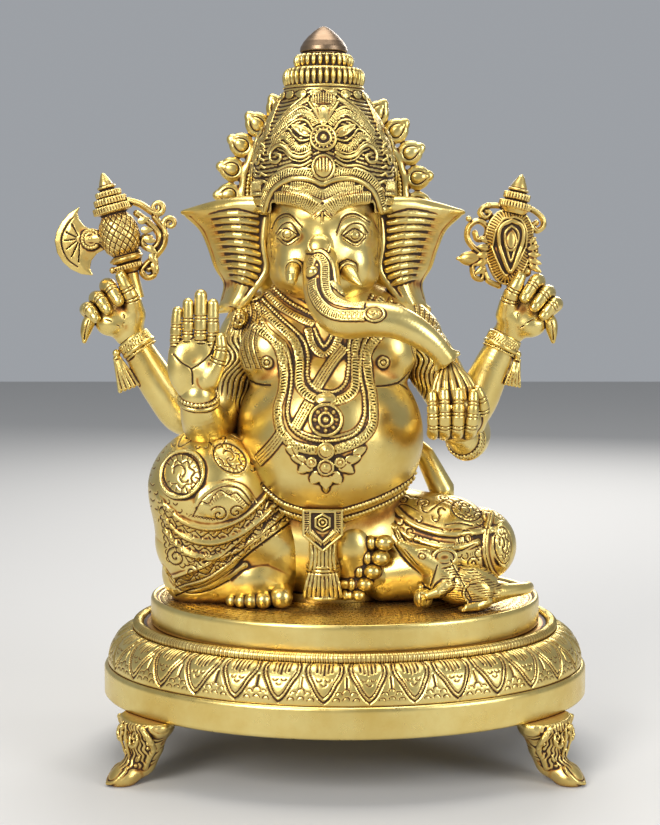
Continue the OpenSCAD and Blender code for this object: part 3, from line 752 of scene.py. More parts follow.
def make_foot():
    """One splayed leaf foot in its own frame: x outwards, z up, zero under the screw."""
    clay = Clay((-14, -26, -1), (40, 26, FOOT_H + 1), 0.5)
    clay.add(ellipsoid((9, 0, 36), (15, 22, 11)))
    clay.add(ellipsoid((11, 0, 24), (11, 15, 13)), 6)
    clay.add(ellipsoid((13, 0, 13), (8, 9, 9)), 5)
    clay.add(link((14, 0, 12, 8), (24, 0, 5, 7.5)), 4)
    clay.add(ellipsoid((25, 0, 5), (10, 9, 6), frame_of((0, 1, 0), (0.35, 0, 1))), 3)
    for side in (-1, 1):
        face = np.column_stack([vec(0, 1, 0), vec(-0.25, 0, 1), vec(1, 0, 0.25)])
        clay.cut([ellipsoid((22.5, side * 9.0, 29.5), (3.4, 4.6, 4.6))], 1.0)
        clay.add(spiral_tube((22, side * 9.5, 30), 7.2, 1.6, math.pi / 2 - side * 0.4, side, 1.5, face), 0.4)
        clay.add(spiral_tube((19.5, side * 7.5, 17), 4.6, 1.3, -math.pi / 2, -side, 1.2, face), 0.4)
        clay.add(tube(curve([(20, side * 16, 37), (17, side * 19.5, 31), (13, side * 17, 24),
                             (14, side * 12, 17),
                             (15, side * 9, 11)]), 1.7), 0.8)
        clay.add(tube(curve([(24, side * 2.4, 37), (25, side * 3.4, 27), (22, side * 2.6, 16)]), 0.9), 0.4)
        clay.add(tube(curve([(22, side * 1, 13), (27, side * 6.6, 9.5), (33, side * 4.5, 3.5), (35.5, 0, 2)]),
                      1.1), 0.5)
        for k in range(6):
            clay.add(ball((16 - 0.3 * k, side * (17.2 - 1.3 * k), 33 - 3.0 * k), 1.5), 0.3)
    for k in range(5):
        clay.add(ball((25.5 - 0.3 * k ** 1.5, 0, 35 - 3.6 * k), 1.7 - 0.12 * k), 0.3)
    clay.add(tube([(24, 0, 12), (31, 0, 6), (34, 0, 3)], [0.9, 0.8, 0.5]), 0.4)
    clay.keep_below(FOOT_H - 0.02)
    clay.keep_above(0.0)
    points, quads, tris = clay.mesh()
    normals = normals_of(points, quads, tris)
    carve = 0.22 * np.sin(points[:, 1] * 2.6
                          + 1.4 * np.sin(points[:, 2] * 0.9)) * smoothstep(8, 14, points[:, 2])
    points = points + normals * (carve * smoothstep(0.2, 0.8, normals[:, 0] + np.abs(normals[:, 1])))[:, None]
    return points, quads, tris


def make_feet():
    points, quads, tris = make_foot()
    lug = RIM_R - 14.0
    angle = math.radians(37)
    for front in (-1, 1):
        for side in (-1, 1):
            name = ("front" if front < 0 else "rear") + ("_left" if side < 0 else "_right") + "_foot"
            way = math.atan2(front * math.sin(angle) * ASPECT, side * math.cos(angle))
            c, s = math.cos(way), math.sin(way)
            turned = np.column_stack([points[:, 0] * c - points[:, 1] * s, points[:, 0] * s
                                      + points[:, 1] * c,
                                      points[:, 2]])
            turned += vec(side * lug * math.cos(angle), front * lug * ASPECT * math.sin(angle), 0)
            piece(name, turned, quads, tris, AGED, [name], 0.18, lift=0.0)


# ---------------------------------------------------------------- ornament

def landed(body, flat, pitch, sink=0.0, smooth=True):
    """Lay a flat (x, z) path on the front of a body."""
    path = np.array([(x, 0.0, z) for x, z in flat], float)
    path = even(curve(path, 1.5) if smooth else path, pitch)
    path[:, 1] = -AHEAD
    return body.met(body.land(path, (0, 1, 0), sink))


def from_behind(body, flat):
    """Lay a flat (x, z) path on the back of a body."""
    path = np.array([(x, AHEAD, z) for x, z in curve(flat, 2)])
    return body.met(body.land(path, (0, -1, 0)))


def sides(body, path):
    """Unit vectors across a path that lies on a body, and out of the body."""
    along = np.gradient(path, axis=0)
    along /= np.linalg.norm(along, axis=1, keepdims=True) + 1e-9
    out = body.slope(path)
    side = np.cross(along, out)
    return side / (np.linalg.norm(side, axis=1, keepdims=True) + 1e-9), out


def milled(body, flat, half, pitch=1.75, radius=0.75, rails=0.6):
    """A band of fine ribs between two smooth wires."""
    path = landed(body, flat, pitch)
    side, out = sides(body, path)
    out = out * 0.35
    shapes = [link((*(p - s * half + o), radius), (*(p + s * half + o), radius))
              for p, s, o in zip(path, side, out)]
    if rails:
        for sign in (-1, 1):
            shapes += tube(path + sign * side * (half + rails + 0.35), rails)
    return shapes


def beaded(body, flat, radius, pitch=None):
    path = landed(body, flat, pitch or radius * 1.9)
    return [ball(p + o * radius * 0.3, radius) for p, o in zip(path, body.slope(path))]


def wire(body, flat, radius, lift=0.0):
    path = landed(body, flat, 1.2)
    return tube(path + body.slope(path) * lift, radius)


def tangent(body, at, direction=(0, 1, 0), start=AHEAD):
    """A point on the body and a frame there: right, up and out."""
    p = np.array(at, float) if len(at) == 3 else vec(at[0], 0, at[1])
    p = body.land([p - start * np.array(direction, float) if len(at) == 2 else p], direction)[0]
    out = body.slope([p])[0]
    right = np.cross(vec(0, 0, 1), out)
    right /= np.linalg.norm(right) + 1e-9
    return p, np.column_stack([right, np.cross(out, right), out])


def hoop(p, turn, radius, thick, squash=1.0, lift=0.2, n=None):
    a = np.linspace(0, 2 * math.pi, n or max(14, int(radius * 4)) + 1)
    path = (p + radius * np.cos(a)[:, None] * turn[:, 0] + squash * radius * np.sin(a)[:, None] * turn[:, 1]
            + lift * turn[:, 2])
    return tube(path, thick)


def boss(p, turn, radius, height, squash=1.0):
    return [ellipsoid(p, (radius, radius * squash, height), turn)]


def drops(p, turn, radius, count, size, lift=0.3, squash=1.0, start=0.0, sweep=2 * math.pi):
    a = start + np.arange(count) / count * sweep
    return [ball(p + radius * math.cos(t) * turn[:, 0] + squash * radius * math.sin(t) * turn[:, 1]
                 + lift * turn[:, 2], size)
            for t in a]


def teardrop(length, width, n=22):
    """A closed flat outline with its tip at (0, length) and its round end at the origin."""
    a = np.linspace(0, 2 * math.pi, n + 1)
    return np.column_stack([0.5 * width * np.sin(a) * np.sin(a / 2) ** 0.9 * 1.15,
                            length * (0.5 + 0.5 * np.cos(a))])


def leaf(p, turn, angle, length, width, thick, rim=0.5, core=True):
    """A raised petal that starts at p and points along angle, in degrees, in the plane of turn."""
    c, s = math.cos(math.radians(angle)), math.sin(math.radians(angle))
    way, side = turn[:, 0] * c + turn[:, 1] * s, -turn[:, 0] * s + turn[:, 1] * c
    shapes = []
    if core:
        shapes.append(ellipsoid(p + way * length * 0.46, (length * 0.5, width * 0.5, thick),
                                np.column_stack([way, side, turn[:, 2]])))
    if rim:
        flat = teardrop(length, width)
        shapes += tube(p + flat[:, 1:] * way + flat[:, :1] * side + turn[:, 2] * thick * 0.35, rim)
    return shapes


def scroll(p, turn, radius, turns, start, hand, thick, tail=None, taper=0.5):
    """A flat volute about p, with an optional tail of points that leads into it."""
    t = np.linspace(0, 1, int(16 * turns) + 3)
    r = radius * (1 - t) ** 0.8 + thick * 0.4 * t
    a = start + hand * 2 * math.pi * turns * t
    path = p + (r * np.cos(a))[:, None] * turn[:, 0] + (r * np.sin(a))[:, None] * turn[:, 1]
    width = thick * (1 - taper * t)
    if tail is not None:
        tail = np.array([p + turn[:, 0] * x + turn[:, 1] * y for x, y in tail])
        lead = curve(np.vstack([tail, path[:1]]), 1.5)[:-1]
        path = np.vstack([lead, path])
        width = np.concatenate([np.linspace(thick * 0.75, thick, len(lead)), width])
    return tube(path, width)


FACE_ON = np.column_stack([vec(1, 0, 0), vec(0, 0, 1), vec(0, -1, 0)])


# ---------------------------------------------------------------- torso

def torso_body(voxel=0.62):
    clay = Clay((-86, -86, -1), (70, 52, 224), voxel)
    clay.add(ellipsoid((-10, -4, 38), (61, 49, 43)))
    clay.add(ellipsoid((-10, -26, 104), (59, 56, 57)), 10)
    clay.add(ellipsoid((-10, -8, 158), (54, 38, 45)), 9)
    clay.add(ellipsoid((-43, -33, 157), (23, 19, 22)), 9)
    clay.add(ellipsoid((21, -33, 157), (23, 19, 22)), 9)
    clay.add([ellipsoid((-57, 2, 163), (24, 23, 23)), ellipsoid((39, 2, 163), (24, 23, 23))], 8)
    clay.add(ellipsoid((-12, -4, 190), (31, 29, 27)), 6)
    clay.add([link((-14, 2, 192, 20), (35, 3, 176, 16)), link((-12, 2, 192, 20), (-57, 3, 174, 16))], 6)
    clay.keep_above(0.0)
    return clay


OUTER = [(-57, 174), (-43, 165), (-38, 151), (-38, 137), (-41, 125), (-39, 113), (-32, 105), (-21, 102),
         (-12, 101.5),
         (-3, 103), (9, 108), (16, 117), (16, 133), (14, 144), (13, 157), (19, 167), (28, 176), (35, 185)]
OUTER_FINE = [(-56, 184), (-48, 171), (-37, 161), (-33, 148), (-33, 137), (-35, 125), (-33, 116),
              (-27, 110.5),
              (-17, 107.5), (-5, 108), (6, 112), (11, 121), (11, 133), (9, 144), (10, 159), (14, 168),
              (22, 178), (29, 188)]
INNER = [(-56, 186), (-44, 177), (-32, 166), (-28, 154), (-28, 141), (-24, 135), (-16, 131), (-12, 130.5),
         (-3, 131.5),
         (5, 137), (6, 148), (6, 161), (9, 169), (16, 180), (23, 190)]
INNER_FINE = [(-52, 189), (-39, 178), (-27, 167), (-23, 157), (-23, 144), (-19, 138), (-14, 136), (-6, 136),
              (0, 141),
              (2, 152), (2, 162), (4, 169), (11, 181), (17, 192)]
UPPER = [[(-50, 193), (-40, 185), (-29, 179), (-20, 175)], [(-46, 197), (-36, 189), (-25, 183), (-17, 179)],
         [(-42, 200), (-32, 194), (-22, 188), (-14, 184)]]
THREAD = [[(-1, 161), (-10, 150), (-18, 138)], [(-22, 129), (-26, 122), (-30, 115)],
          [(-39, 110), (-45, 102), (-53, 93)]]
BELT_LEFT = [(-62, 88), (-50, 75), (-38, 66), (-26, 62.5)]
BELT_RIGHT = [(-1, 62.5), (14, 67), (30, 73), (46, 81), (54, 90)]


def make_torso():
    clay = torso_body()
    body = torso_body(1.4)
    bands, beads = [], []
    bands += milled(body, OUTER, 1.45, 1.7, 0.72, 0.5)
    beads += beaded(body, OUTER_FINE, 1.0)
    beads += wire(body, np.array(OUTER_FINE) + (0.0, 2.2), 0.55)
    bands += milled(body, INNER, 1.3, 1.7, 0.7, 0.5)
    beads += beaded(body, INNER_FINE, 0.95)
    for k, line in enumerate(UPPER):
        bands += milled(body, line, 0.9, 1.7, 0.6, 0.45) if k == 0 else beaded(body, line, 1.0)
    bands += milled(body, [(-23, 172), (-20, 162), (-13, 156.5), (-6, 162), (-3, 171)], 1.0, 1.6, 0.6, 0.45)
    beads += beaded(body, [(-19, 172), (-16, 165), (-13, 161.5), (-10, 165), (-7, 171)], 0.9)
    # Hollow the chest between the strands, so that they stand off it
    clay.cut([ellipsoid((p[0], p[1] - 0.3, p[2]), (2.6, 1.0, 2.6)) for p in landed(body, OUTER, 1.6)[3:-2]],
             1.2)
    clay.cut([ellipsoid((p[0], p[1] - 0.3, p[2]), (2.2, 0.9, 2.2)) for p in landed(body, INNER, 1.6)[3:-2]],
             1.0)
    for line in THREAD:
        path = landed(body, line, 1.2)
        side, out = sides(body, path)
        for k in (-1.5, -0.5, 0.5, 1.5):
            bands += tube(path + side * k * 1.75 + out * 0.25, 0.72)

    p, turn = tangent(body, (-12, 119.5))
    bands += boss(p, turn, 9.6, 1.6) + hoop(p, turn, 9.4, 0.9, lift=0.9)
    bands += hoop(p, turn, 4.0, 0.7, lift=1.6)
    bands += drops(p, turn, 6.6, 8, 1.15, 1.5) + boss(p + turn[:, 2] * 1.2, turn, 1.7, 1.4)
    p, turn = tangent(body, (-12, 131.5))
    bands += boss(p, turn, 5.8, 2.2, 0.6) + hoop(p, turn, 5.6, 0.7, 0.6, 0.8)
    p, turn = tangent(body, (-12, 101.5))
    bands += boss(p, turn, 4.9, 2.4) + hoop(p, turn, 4.6, 0.7, lift=1.2)
    bands += boss(p + turn[:, 2] * 1.8, turn, 1.7, 1.2)
    for x, z, r in ((-12, 91.5, 4.9), (-20.3, 94.5, 3.0), (-3.8, 94.5, 3.0)):
        p, turn = tangent(body, (x, z))
        bands += boss(p, turn, r, 1.5) + hoop(p, turn, r - 0.3, 0.65, lift=0.9)
        bands += boss(p + turn[:, 2], turn, r * 0.35, 1.1)
    for x, z, angle, length, width in ((-12, 87.5, -90, 10, 8.0), (-15.5, 88, -128, 9, 6.5),
                                       (-8.5, 88, -52, 9, 6.5),
                                       (-20, 92, 190, 8, 6.0), (-4, 92, -10, 8, 6.0), (-24, 95, 165, 9, 5.0),
                                       (0, 95, 15, 9, 5.0), (-22, 92.5, 215, 8, 5.0), (-2, 92.5, -35, 8, 5.0),
                                       (-29, 99, 150, 8, 4.5), (5, 99, 30, 8, 4.5)):
        p, turn = tangent(body, (x, z))
        bands += leaf(p, turn, angle, length, width, 0.9, 0.5)
    p, turn = tangent(body, (-12, 80))
    bands += leaf(p, turn, -90, 5, 3.4, 1.2, 0.4)
    knob = vec(-66.5, -17, 177)
    clay.add([ball(knob, 6.2)], 0.5)
    bands += hoop(knob + 5.4 * FRONT, FACE_ON, 3.6, 0.7, lift=0.0)
    bands += boss(knob + 6.0 * FRONT, FACE_ON, 1.5, 1.4)
    for x, z, r in ((-56, 190.5, 4.4), (32, 193, 4.6)):
        p, turn = tangent(body, (x, z))
        bands += boss(p, turn, r, 2.2) + hoop(p, turn, r, 0.8, lift=0.8)
        bands += boss(p + turn[:, 2] * 1.4, turn, r * 0.4, 1.5)
    for x in (-48, 23):
        p, turn = tangent(body, (x, 152))
        bands += hoop(p, turn, 2.8, 0.75, lift=0.3, n=20) + boss(p, turn, 1.5, 1.3)
    for line, drop in ((BELT_LEFT, 0), (BELT_RIGHT, 0), (BELT_LEFT, -6.0), (BELT_RIGHT, -6.0)):
        flat = np.array(line) + (0.0, drop)
        path = landed(body, flat, 2.1)
        side, out = sides(body, path)
        bands += [link((*(q - s * 1.5 - t * 0.7 + o * 0.6), 1.15), (*(q + s * 1.5 + t * 0.7 + o * 0.6), 1.15))
                  for q, s, o, t in zip(path, side, out, np.gradient(path, axis=0) / 2.1)]
    clay.add(bands, 0.35)
    clay.add(beads, 0.25)
    # The loose end of the shawl, beside the belly
    clay.add([link((30, 8, 104, 8), (52, 4, 88, 6.4)), link((52, 4, 88, 6.4), (63, 0, 66, 8.2))], 2)
    clay.cut([link((50, -7, 92, 0.9), (60, -10, 64, 0.9))], 0.6)
    # Chains that hang on the back, and the sash's knot over the hips
    back = from_behind(body, [(-60, 178), (-48, 160), (-12, 148), (24, 160), (40, 178)])
    clay.add([ball(q, 1.5) for q in even(back, 2.6)], 0.3)
    rear = from_behind(body, [(-66, 70), (-40, 60), (-12, 56), (20, 60), (46, 70)])
    for dz in (0.0, -5.5):
        clay.add([ball(q + vec(0, 0, dz), 2.0) for q in even(rear, 2.4)], 0.4)

    front = FrontSheet((-86, 0), (70, 212))
    # The fold under each breast
    front.cut(curve([(19, 138.5), (27, 138.6), (34, 140), (40, 145)], 1), 1.1, 0.8)
    front.cut(curve([(-46, 138.6), (-54, 138.4), (-62, 141), (-67, 147)], 1), 1.1, 0.8)
    front.cut(curve([(32, 139.4), (38, 135), (43, 128)], 1), 0.8, 0.4)
    front.cut(curve([(-36, 112), (-30, 98), (-24, 93)], 1), 0.7, 0.3)
    for x0 in (-74, 42):
        for k in range(7):
            path = curve([(x0 + k * 3.2, 196 - k), (x0 + 2.5 + k * 3.2, 180), (x0 - 1.5 + k * 3.2, 164),
                          (x0 + 3 + k * 3.2, 148)], 1)
            front.cut(path, 0.8, 0.5)
            front.hatch(path[::2], 0.6, 1.9, 1.6, 0.5, 0.35, 0.6)
    locks = Engraving(18.0, 24.0)
    for k in range(4):
        x = 2.2 + 4.5 * k
        locks.cut(curve([(x, 0), (x + 1.8, 6), (x - 1.6, 13), (x + 1.2, 19), (x, 24)], 0.8), 0.8, 0.5)
    locks.spiral((9, 12), 4.0, 1.6, 0.4, 1, 0.8, 0.5)

    def carve(points, normals):
        x, z = points[:, 0], points[:, 2]
        depth = front.on(points, normals)
        # Curls of hair down the back of the neck and shoulders
        hair = smoothstep(0.25, 0.6, normals[:, 1]) * smoothstep(150, 158, z) * (1 - smoothstep(212, 218, z))
        hair = hair * (1 - smoothstep(34, 44, np.abs(x + 12)))
        depth += locks.press(x + 100, z) * hair
        cloth = smoothstep(0.2, 0.5, normals[:, 1]) * (1 - smoothstep(52, 55, z)) * smoothstep(3, 6, z)
        depth += cloth * 0.45 * np.minimum(0, np.sin(z * 0.55 + 0.006 * (x + 12) ** 2))
        return depth

    clay_piece("torso", clay, carve)


def make_sash():
    """The belt's buckle and the pleated end of the waist cloth under it."""
    clay = Clay((-32, -76, 3), (6, -30, 68), 0.42)
    face = -68.5

    def shield(half, low, top, y, thick):
        flat = [(-14 - half, top), (-14 + half, top), (-14 + half, low + half * 0.85), (-14, low),
                (-14 - half, low + half * 0.85),
                (-14 - half, top)]
        return tube(np.array([(x, y, z) for x, z in flat]), thick)

    clay.add([slab((-14, -60, 56.5), (12.4, 8.2, 7.6), rounding=0.8)])
    wedge = np.column_stack([vec(math.sqrt(0.5), 0, math.sqrt(0.5)), vec(0, 1, 0),
                             vec(-math.sqrt(0.5), 0, math.sqrt(0.5))])
    clay.add([slab((-14, -60, 51.5), (8.9, 8.2, 8.9), wedge, 0.8)], 0.5)
    clay.add(shield(11.6, 38.6, 63.4, face, 0.85), 0.2)
    clay.add(shield(7.6, 44.0, 62.6, face - 0.2, 0.7), 0.2)
    hexagon = [(-14 + 5.0 * math.sin(a), face - 0.3, 56.2 + 5.0 * math.cos(a))
               for a in np.linspace(0, 2 * math.pi, 7)]
    clay.add(tube(np.array(hexagon), 0.7), 0.2)
    clay.add(hoop(vec(-14, face, 56.2), FACE_ON, 2.5, 0.6) + boss(vec(-14, face, 56.2), FACE_ON, 1.2, 1.3),
             0.2)
    for k in range(11):
        z = 62.2 - 1.35 * k
        for side in (-1, 1):
            if k < 8:
                clay.add(link((-14 + side * 8.4, face, z, 0.42), (-14 + side * 11.0, face, z, 0.42)))
            x = side * (10.2 - 0.92 * k)
            z2 = 50.6 - 0.82 * k
            clay.add(link((-14 + x, face, z2, 0.42), (-14 + x * 0.82, face, z2 + 3.0, 0.42)))
    # The fold under the buckle and the gathered cloth
    clay.add([link((-26, -56, 52, 2.2), (-14, -58, 37, 2.6)), link((-2, -56, 52, 2.2), (-14, -58, 37, 2.6))],
             1)
    clay.add([slab((-14, -50, 38), (8.5, 9.5, 14), rounding=2)], 1)
    for k in range(-3, 4):
        clay.add(tube(curve([(-14 + k * 2.3, -59.5, 44 - abs(k)), (-14 + k * 2.2, -60.6, 33),
                             (-14 + k * 2.5, -60.2, 26)]), 1.05), 0.2)
    for z, r in ((26.8, 1.0), (24.6, 1.15), (22.4, 1.0)):
        clay.add(tube(np.array([(-14 + 9.6 * math.sin(a), -51.5 - 9.4 * math.cos(a), z)
                                for a in np.linspace(-1.5, 1.5, 14)]), r), 0.3)
    for k in range(-4, 5):
        clay.add(tube(curve([(-14 + k * 2.0, -60.4 + 0.12 * k * k, 22.5),
                             (-14 + k * 2.5, -61.0 + 0.14 * k * k, 15),
                             (-14 + k * 2.75, -60.0 + 0.16 * k * k, 8.5)]), 1.25), 0.25)
    clay.add([slab((-14, -48, 15.5), (10.5, 11, 7.5), rounding=3)], 1)
    clay.add(tube(np.array([(-14 + 12.4 * math.sin(a), -47.5 - 13.2 * math.cos(a), 7.4)
                            for a in np.linspace(-1.3, 1.3, 16)]), 1.3), 0.5)

    def carve(points, normals):
        return -0.18 * (np.sin(points[:, 0] * 6.0)
                        > 0.6) * smoothstep(0.3, 0.7, -normals[:, 1]) * (points[:, 2] < 21)

    clay_piece("sash", clay, carve, 0.08)


# ---------------------------------------------------------------- legs

def cloth_tile():
    """Scrolling leaves that repeat round the back of the wrapped cloth."""
    s = Engraving(26.0, 20.0)
    s.cut(curve([(0, 5), (6, 9), (13, 5), (19, 1), (26, 5)], 0.8), 0.9, 0.55)
    s.spiral((7, 13), 4.2, 1.5, 0.2, 1, 0.8, 0.5)
    s.spiral((19.5, 8.5), 4.0, 1.5, 3.4, -1, 0.8, 0.5)
    for k in range(4):
        s.cut(arc((13 + 1.4 * k, 16 - 0.5 * k), 2.2, 200, 320), 0.7, 0.45)
        s.cut(arc((2 + 1.2 * k, 18 - 0.4 * k), 1.8, 20, 140), 0.7, 0.45)
    return s


CLOTH = cloth_tile()


def paisley(sheet, centre, radius, squash=1.0, lean=0.0):
    """A ringed medallion with a wave and ticks inside, like those on the wrapped cloth."""
    c, s = math.cos(lean), math.sin(lean)

    def put(points):
        p = np.asarray(points, float) * (1.0, squash)
        return np.column_stack([centre[0] + p[:, 0] * c - p[:, 1] * s, centre[1] + p[:, 0] * s + p[:, 1] * c])

    sheet.cut(put(arc((0, 0), radius, 0, 360, n=40)), 1.3, 0.9)
    sheet.raise_line(put(arc((0, 0), radius * 0.9, 0, 360, n=40)), 1.6, 0.45)
    sheet.cut(put(arc((0, 0), radius * 0.79, 0, 360, n=40)), 0.9, 0.7)
    wave = [(r * math.cos(a), r * math.sin(a)) for a, r in
            [(t, radius * (0.50 + 0.07 * math.sin(7 * t))) for t in np.linspace(-2.4, 2.6, 60)]]
    sheet.cut(put(wave), 0.75, 0.55)
    for a in np.linspace(-2.6, 2.6, 16):
        way = np.array([math.cos(a), math.sin(a)])
        sheet.cut(put([way * radius * 0.60, way * radius * 0.74]), 0.55, 0.4)
    sheet.cut(put(arc((-0.1 * radius, 0.12 * radius), radius * 0.25, -60, 200)), 0.8, 0.55)
    sheet.cut(put(arc((0.12 * radius, -0.12 * radius), radius * 0.2, 150, 330)), 0.8, 0.5)


def fold(sheet, path, width=1.6, depth=1.1):
    """A sharp fold: a cut with a raised lip over it."""
    p = curve(path, 1.2)
    sheet.cut(p, width, depth)
    sheet.raise_line(offset(p, width * 0.95), width * 1.3, depth * 0.6)


def make_raised_leg():
    clay = Clay((-126, -82, -1), (-10, 44, 114), 0.6)
    clay.add(limb([(-36, 2, 44, 37), (-84, -38, 72, 37.6)]))
    clay.add(limb([(-84, -38, 72, 37.4), (-88, -34, 40, 31), (-94, -23, 17, 21)]), 5)
    clay.add(limb([(-94, -23, 17, 21), (-58, -34, 17, 20)]), 4)
    clay.add(limb([(-84, -38, 66, 30), (-46, -30, 36, 25), (-54, -34, 17, 19)]), 6)
    # Bare calf under the hem, coming forward to the ankle
    clay.add(limb([(-36, -26, 46, 17), (-40, -34, 26, 15), (-46, -36, 12, 13)]), 5)
    clay.keep_above(0.0)
    body = Clay((-126, -82, -1), (-10, 44, 114), 1.5)
    body.add(limb([(-36, 2, 44, 37), (-84, -38, 72, 37.6), (-88, -34, 40, 31), (-94, -23, 17, 21),
                   (-58, -34, 17, 20)]))
    body.add(limb([(-84, -38, 66, 30), (-46, -30, 36, 25), (-54, -34, 17, 19)]), 6)
    hem = [(-106, 9), (-97, 14), (-84, 20), (-70, 30), (-56, 42), (-42, 52), (-30, 60)]
    folds = [[(-113, 70), (-98, 58), (-80, 54), (-62, 60), (-46, 74), (-38, 86)],
             [(-113, 62), (-100, 49), (-82, 44), (-64, 49), (-46, 62), (-34, 76)],
             [(-110, 50), (-98, 38), (-80, 34), (-62, 40), (-44, 54), (-30, 68)]]
    ridges = []
    for line in folds:
        ridges += tube(landed(body, line, 2.0), 1.7)
    for dz in (0.0, 9.5):
        ridges += tube(landed(body, np.array(hem) + (0, dz), 2.0), 1.15)
    ridges += tube(landed(body, np.array(hem) + (0, -2.6), 2.0), 1.5)
    ridges += tube(landed(body, [(-112, 24), (-106, 14), (-97, 10), (-84, 13), (-72, 20), (-62, 27)], 2.0),
                   1.3)
    clay.add(ridges, 2.0)
    p, turn = tangent(body, (-99, 86))
    clay.add(hoop(p, turn, 14.5, 1.3, lift=0.0), 1.6)
    clay.add(boss(p - turn[:, 2] * 1.5, turn, 13.5, 3.2), 2.0)
    p, turn = tangent(body, (-73, 70))
    clay.add(boss(p - turn[:, 2] * 2.0, turn, 17, 4.2, 0.62), 2.5)

    s = FrontSheet((-126, 0), (-8, 114))
    paisley(s, (-99, 86), 14.6)
    paisley(s, (-70, 95), 14.0, 0.62, -0.62)
    # Large half-round paisley over the folds
    dome = curve([(-95, 62), (-88, 74), (-75, 82), (-62, 80), (-53, 68), (-50, 60)], 1.2)
    s.cut(dome, 1.3, 0.9)
    s.raise_line(offset(dome, -1.7), 1.5, 0.45)
    s.cut(offset(dome, -3.2), 0.9, 0.6)
    s.cut(curve([(-90, 66), (-86, 70), (-82, 69), (-79, 74), (-75, 77), (-70, 74), (-66, 75), (-62, 71),
                 (-58, 66), (-55, 62)], 1), 0.9, 0.6)
    s.hatch(curve([(-84, 72), (-75, 79), (-66, 77), (-58, 70)], 1), -2.4, -5.2, 1.6, 0.55, 0.4, -0.8)
    s.spiral((-76, 62), 5.2, 1.3, 2.6, -1, 0.9, 0.6)
    s.spiral((-66, 63), 4.0, 1.2, 0.4, 1, 0.8, 0.55)
    for k in range(9):
        s.cut(arc((-93 + 1.8 * k, 60 - 0.3 * k), 1.5, 20, 160), 0.6, 0.4)
    for line in folds:
        fold(s, np.array(line) + (0, -2.6), 1.3, 0.9)
    for k, (line, shift) in enumerate(zip(folds, (-5.8, -5.6, -5.0))):
        path = curve(np.array(line) + (0, shift), 1.0)
        n = len(path)
        s.cut(path + np.column_stack([np.zeros(n), 1.3 * np.sin(np.arange(n) * 0.75 + k)]), 0.7, 0.5)
        s.hatch(path, 0.8, 2.2, 4.2, 0.6, 0.45, 1.2)
        s.hatch(path, -2.4, -0.9, 5.1, 0.6, 0.45, -1.0)
    # The scrolled hem band
    band = curve(np.array(hem) + (0, 4.8), 0.8)
    n = len(band)
    s.cut(band + np.column_stack([np.zeros(n), 2.1 * np.sin(np.arange(n) * 0.36)]), 0.9, 0.65)
    s.cut(band + np.column_stack([np.zeros(n), 2.1 * np.sin(np.arange(n) * 0.36 + 0.5) + 0.9]), 0.6, 0.4)
    for k in range(4, n - 4, 9):
        s.cut(arc(band[k] + (0, 1.8 if (k // 9) % 2 else -1.8), 1.3, 0, 300), 0.6, 0.45)
    s.cut(curve(np.array(hem) + (0, 1.4), 1.0), 0.8, 0.7)
    s.cut(curve(np.array(hem) + (0, 8.0), 1.0), 0.8, 0.6)
    s.cut(curve(np.array(hem) + (0, -4.6), 1.0), 1.4, 1.0)
    s.cut(curve([(-111, 20), (-104, 10), (-96, 7), (-84, 10), (-72, 17)], 1.0), 1.0, 0.7)
    s.spiral((-104, 33), 6.5, 1.7, 1.2, 1, 1.0, 0.7)
    s.spiral((-94, 24), 4.5, 1.5, 2.0, -1, 0.9, 0.6)
    for k in range(8):
        s.cut(arc((-100 + 3.2 * k, 28 + 1.6 * k), 1.7, 190, 350), 0.7, 0.5)
        s.cut(arc((-112 + 0.5 * k, 62 - 4.4 * k), 1.9, 100, 260), 0.7, 0.5)
    # Punched crescents on the cloth between the paisleys
    for row in range(10):
        for column in range(16):
            x, z = -121 + 5.2 * column + 2.6 * (row % 2), 64 + 4.8 * row
            on_paisley = math.hypot(x + 99, z - 86) <= 17.4 or math.hypot(x + 70, 1.3 * (z - 95)) <= 16.5
            on_dome = -97 < x < -48 and z < 86
            if not on_paisley and not on_dome:
                s.cut(arc((x, z), 1.5, 200 + 40 * (column % 3), 340 + 40 * (column % 3)), 0.6, 0.45)
    for k in range(5):
        s.cut(arc((-56 + 2.2 * k, 92 - 3.4 * k), 1.7, 200, 360), 0.6, 0.45)
        s.cut(arc((-50 + 2.2 * k, 78 - 3.0 * k), 1.5, 20, 180), 0.6, 0.4)

    def carve(points, normals):
        x, y, z = points.T
        depth = s.on(points, normals)
        around = np.arctan2(y + 30, x + 84) * 34
        rear = 1 - smoothstep(-0.2, 0.1, -normals[:, 1])
        rear = np.maximum(rear, smoothstep(0.6, 0.85, normals[:, 2])) * smoothstep(3, 6, z) * (x < -30)
        depth += CLOTH.press(around + 300, z) * rear
        creases = np.minimum(0, np.sin(z * 0.42 - 0.00875 * (x + 84) ** 2)) * 0.5
        return depth + creases * rear * (z < 60)

    clay_piece("raised_leg", clay, carve)

    foot = Clay((-82, -66, -1), (-26, -18, 34), 0.42)
    foot.add(ellipsoid((-52, -40, 8), (19, 12, 9)))
    foot.add(ellipsoid((-46, -32, 15), (15, 13, 14)), 5)
    for x, y, r in ((-39.5, -53, 7.2), (-50.5, -54, 5.5), (-58, -53, 4.8), (-64.5, -51, 4.3),
                    (-70.5, -48, 3.9)):
        foot.add(limb([(x * 0.94 - 3, -40, r + 2.4, r), (x, y + 4, r + 1.2, r * 0.92),
                       (x, y, r * 0.95, r * 0.97)]), 1.1)
    foot.keep_above(0.02)
    foot.cut([hoop(vec(x, y - r * 0.55, r * 1.35), FACE_ON, r * 0.5, 0.28, 0.8)[k] for x, y, r in
              ((-39.5, -53, 7.2), (-50.5, -54, 5.5)) for k in range(0, 12)], 0.2)
    clay_piece("raised_foot", foot)


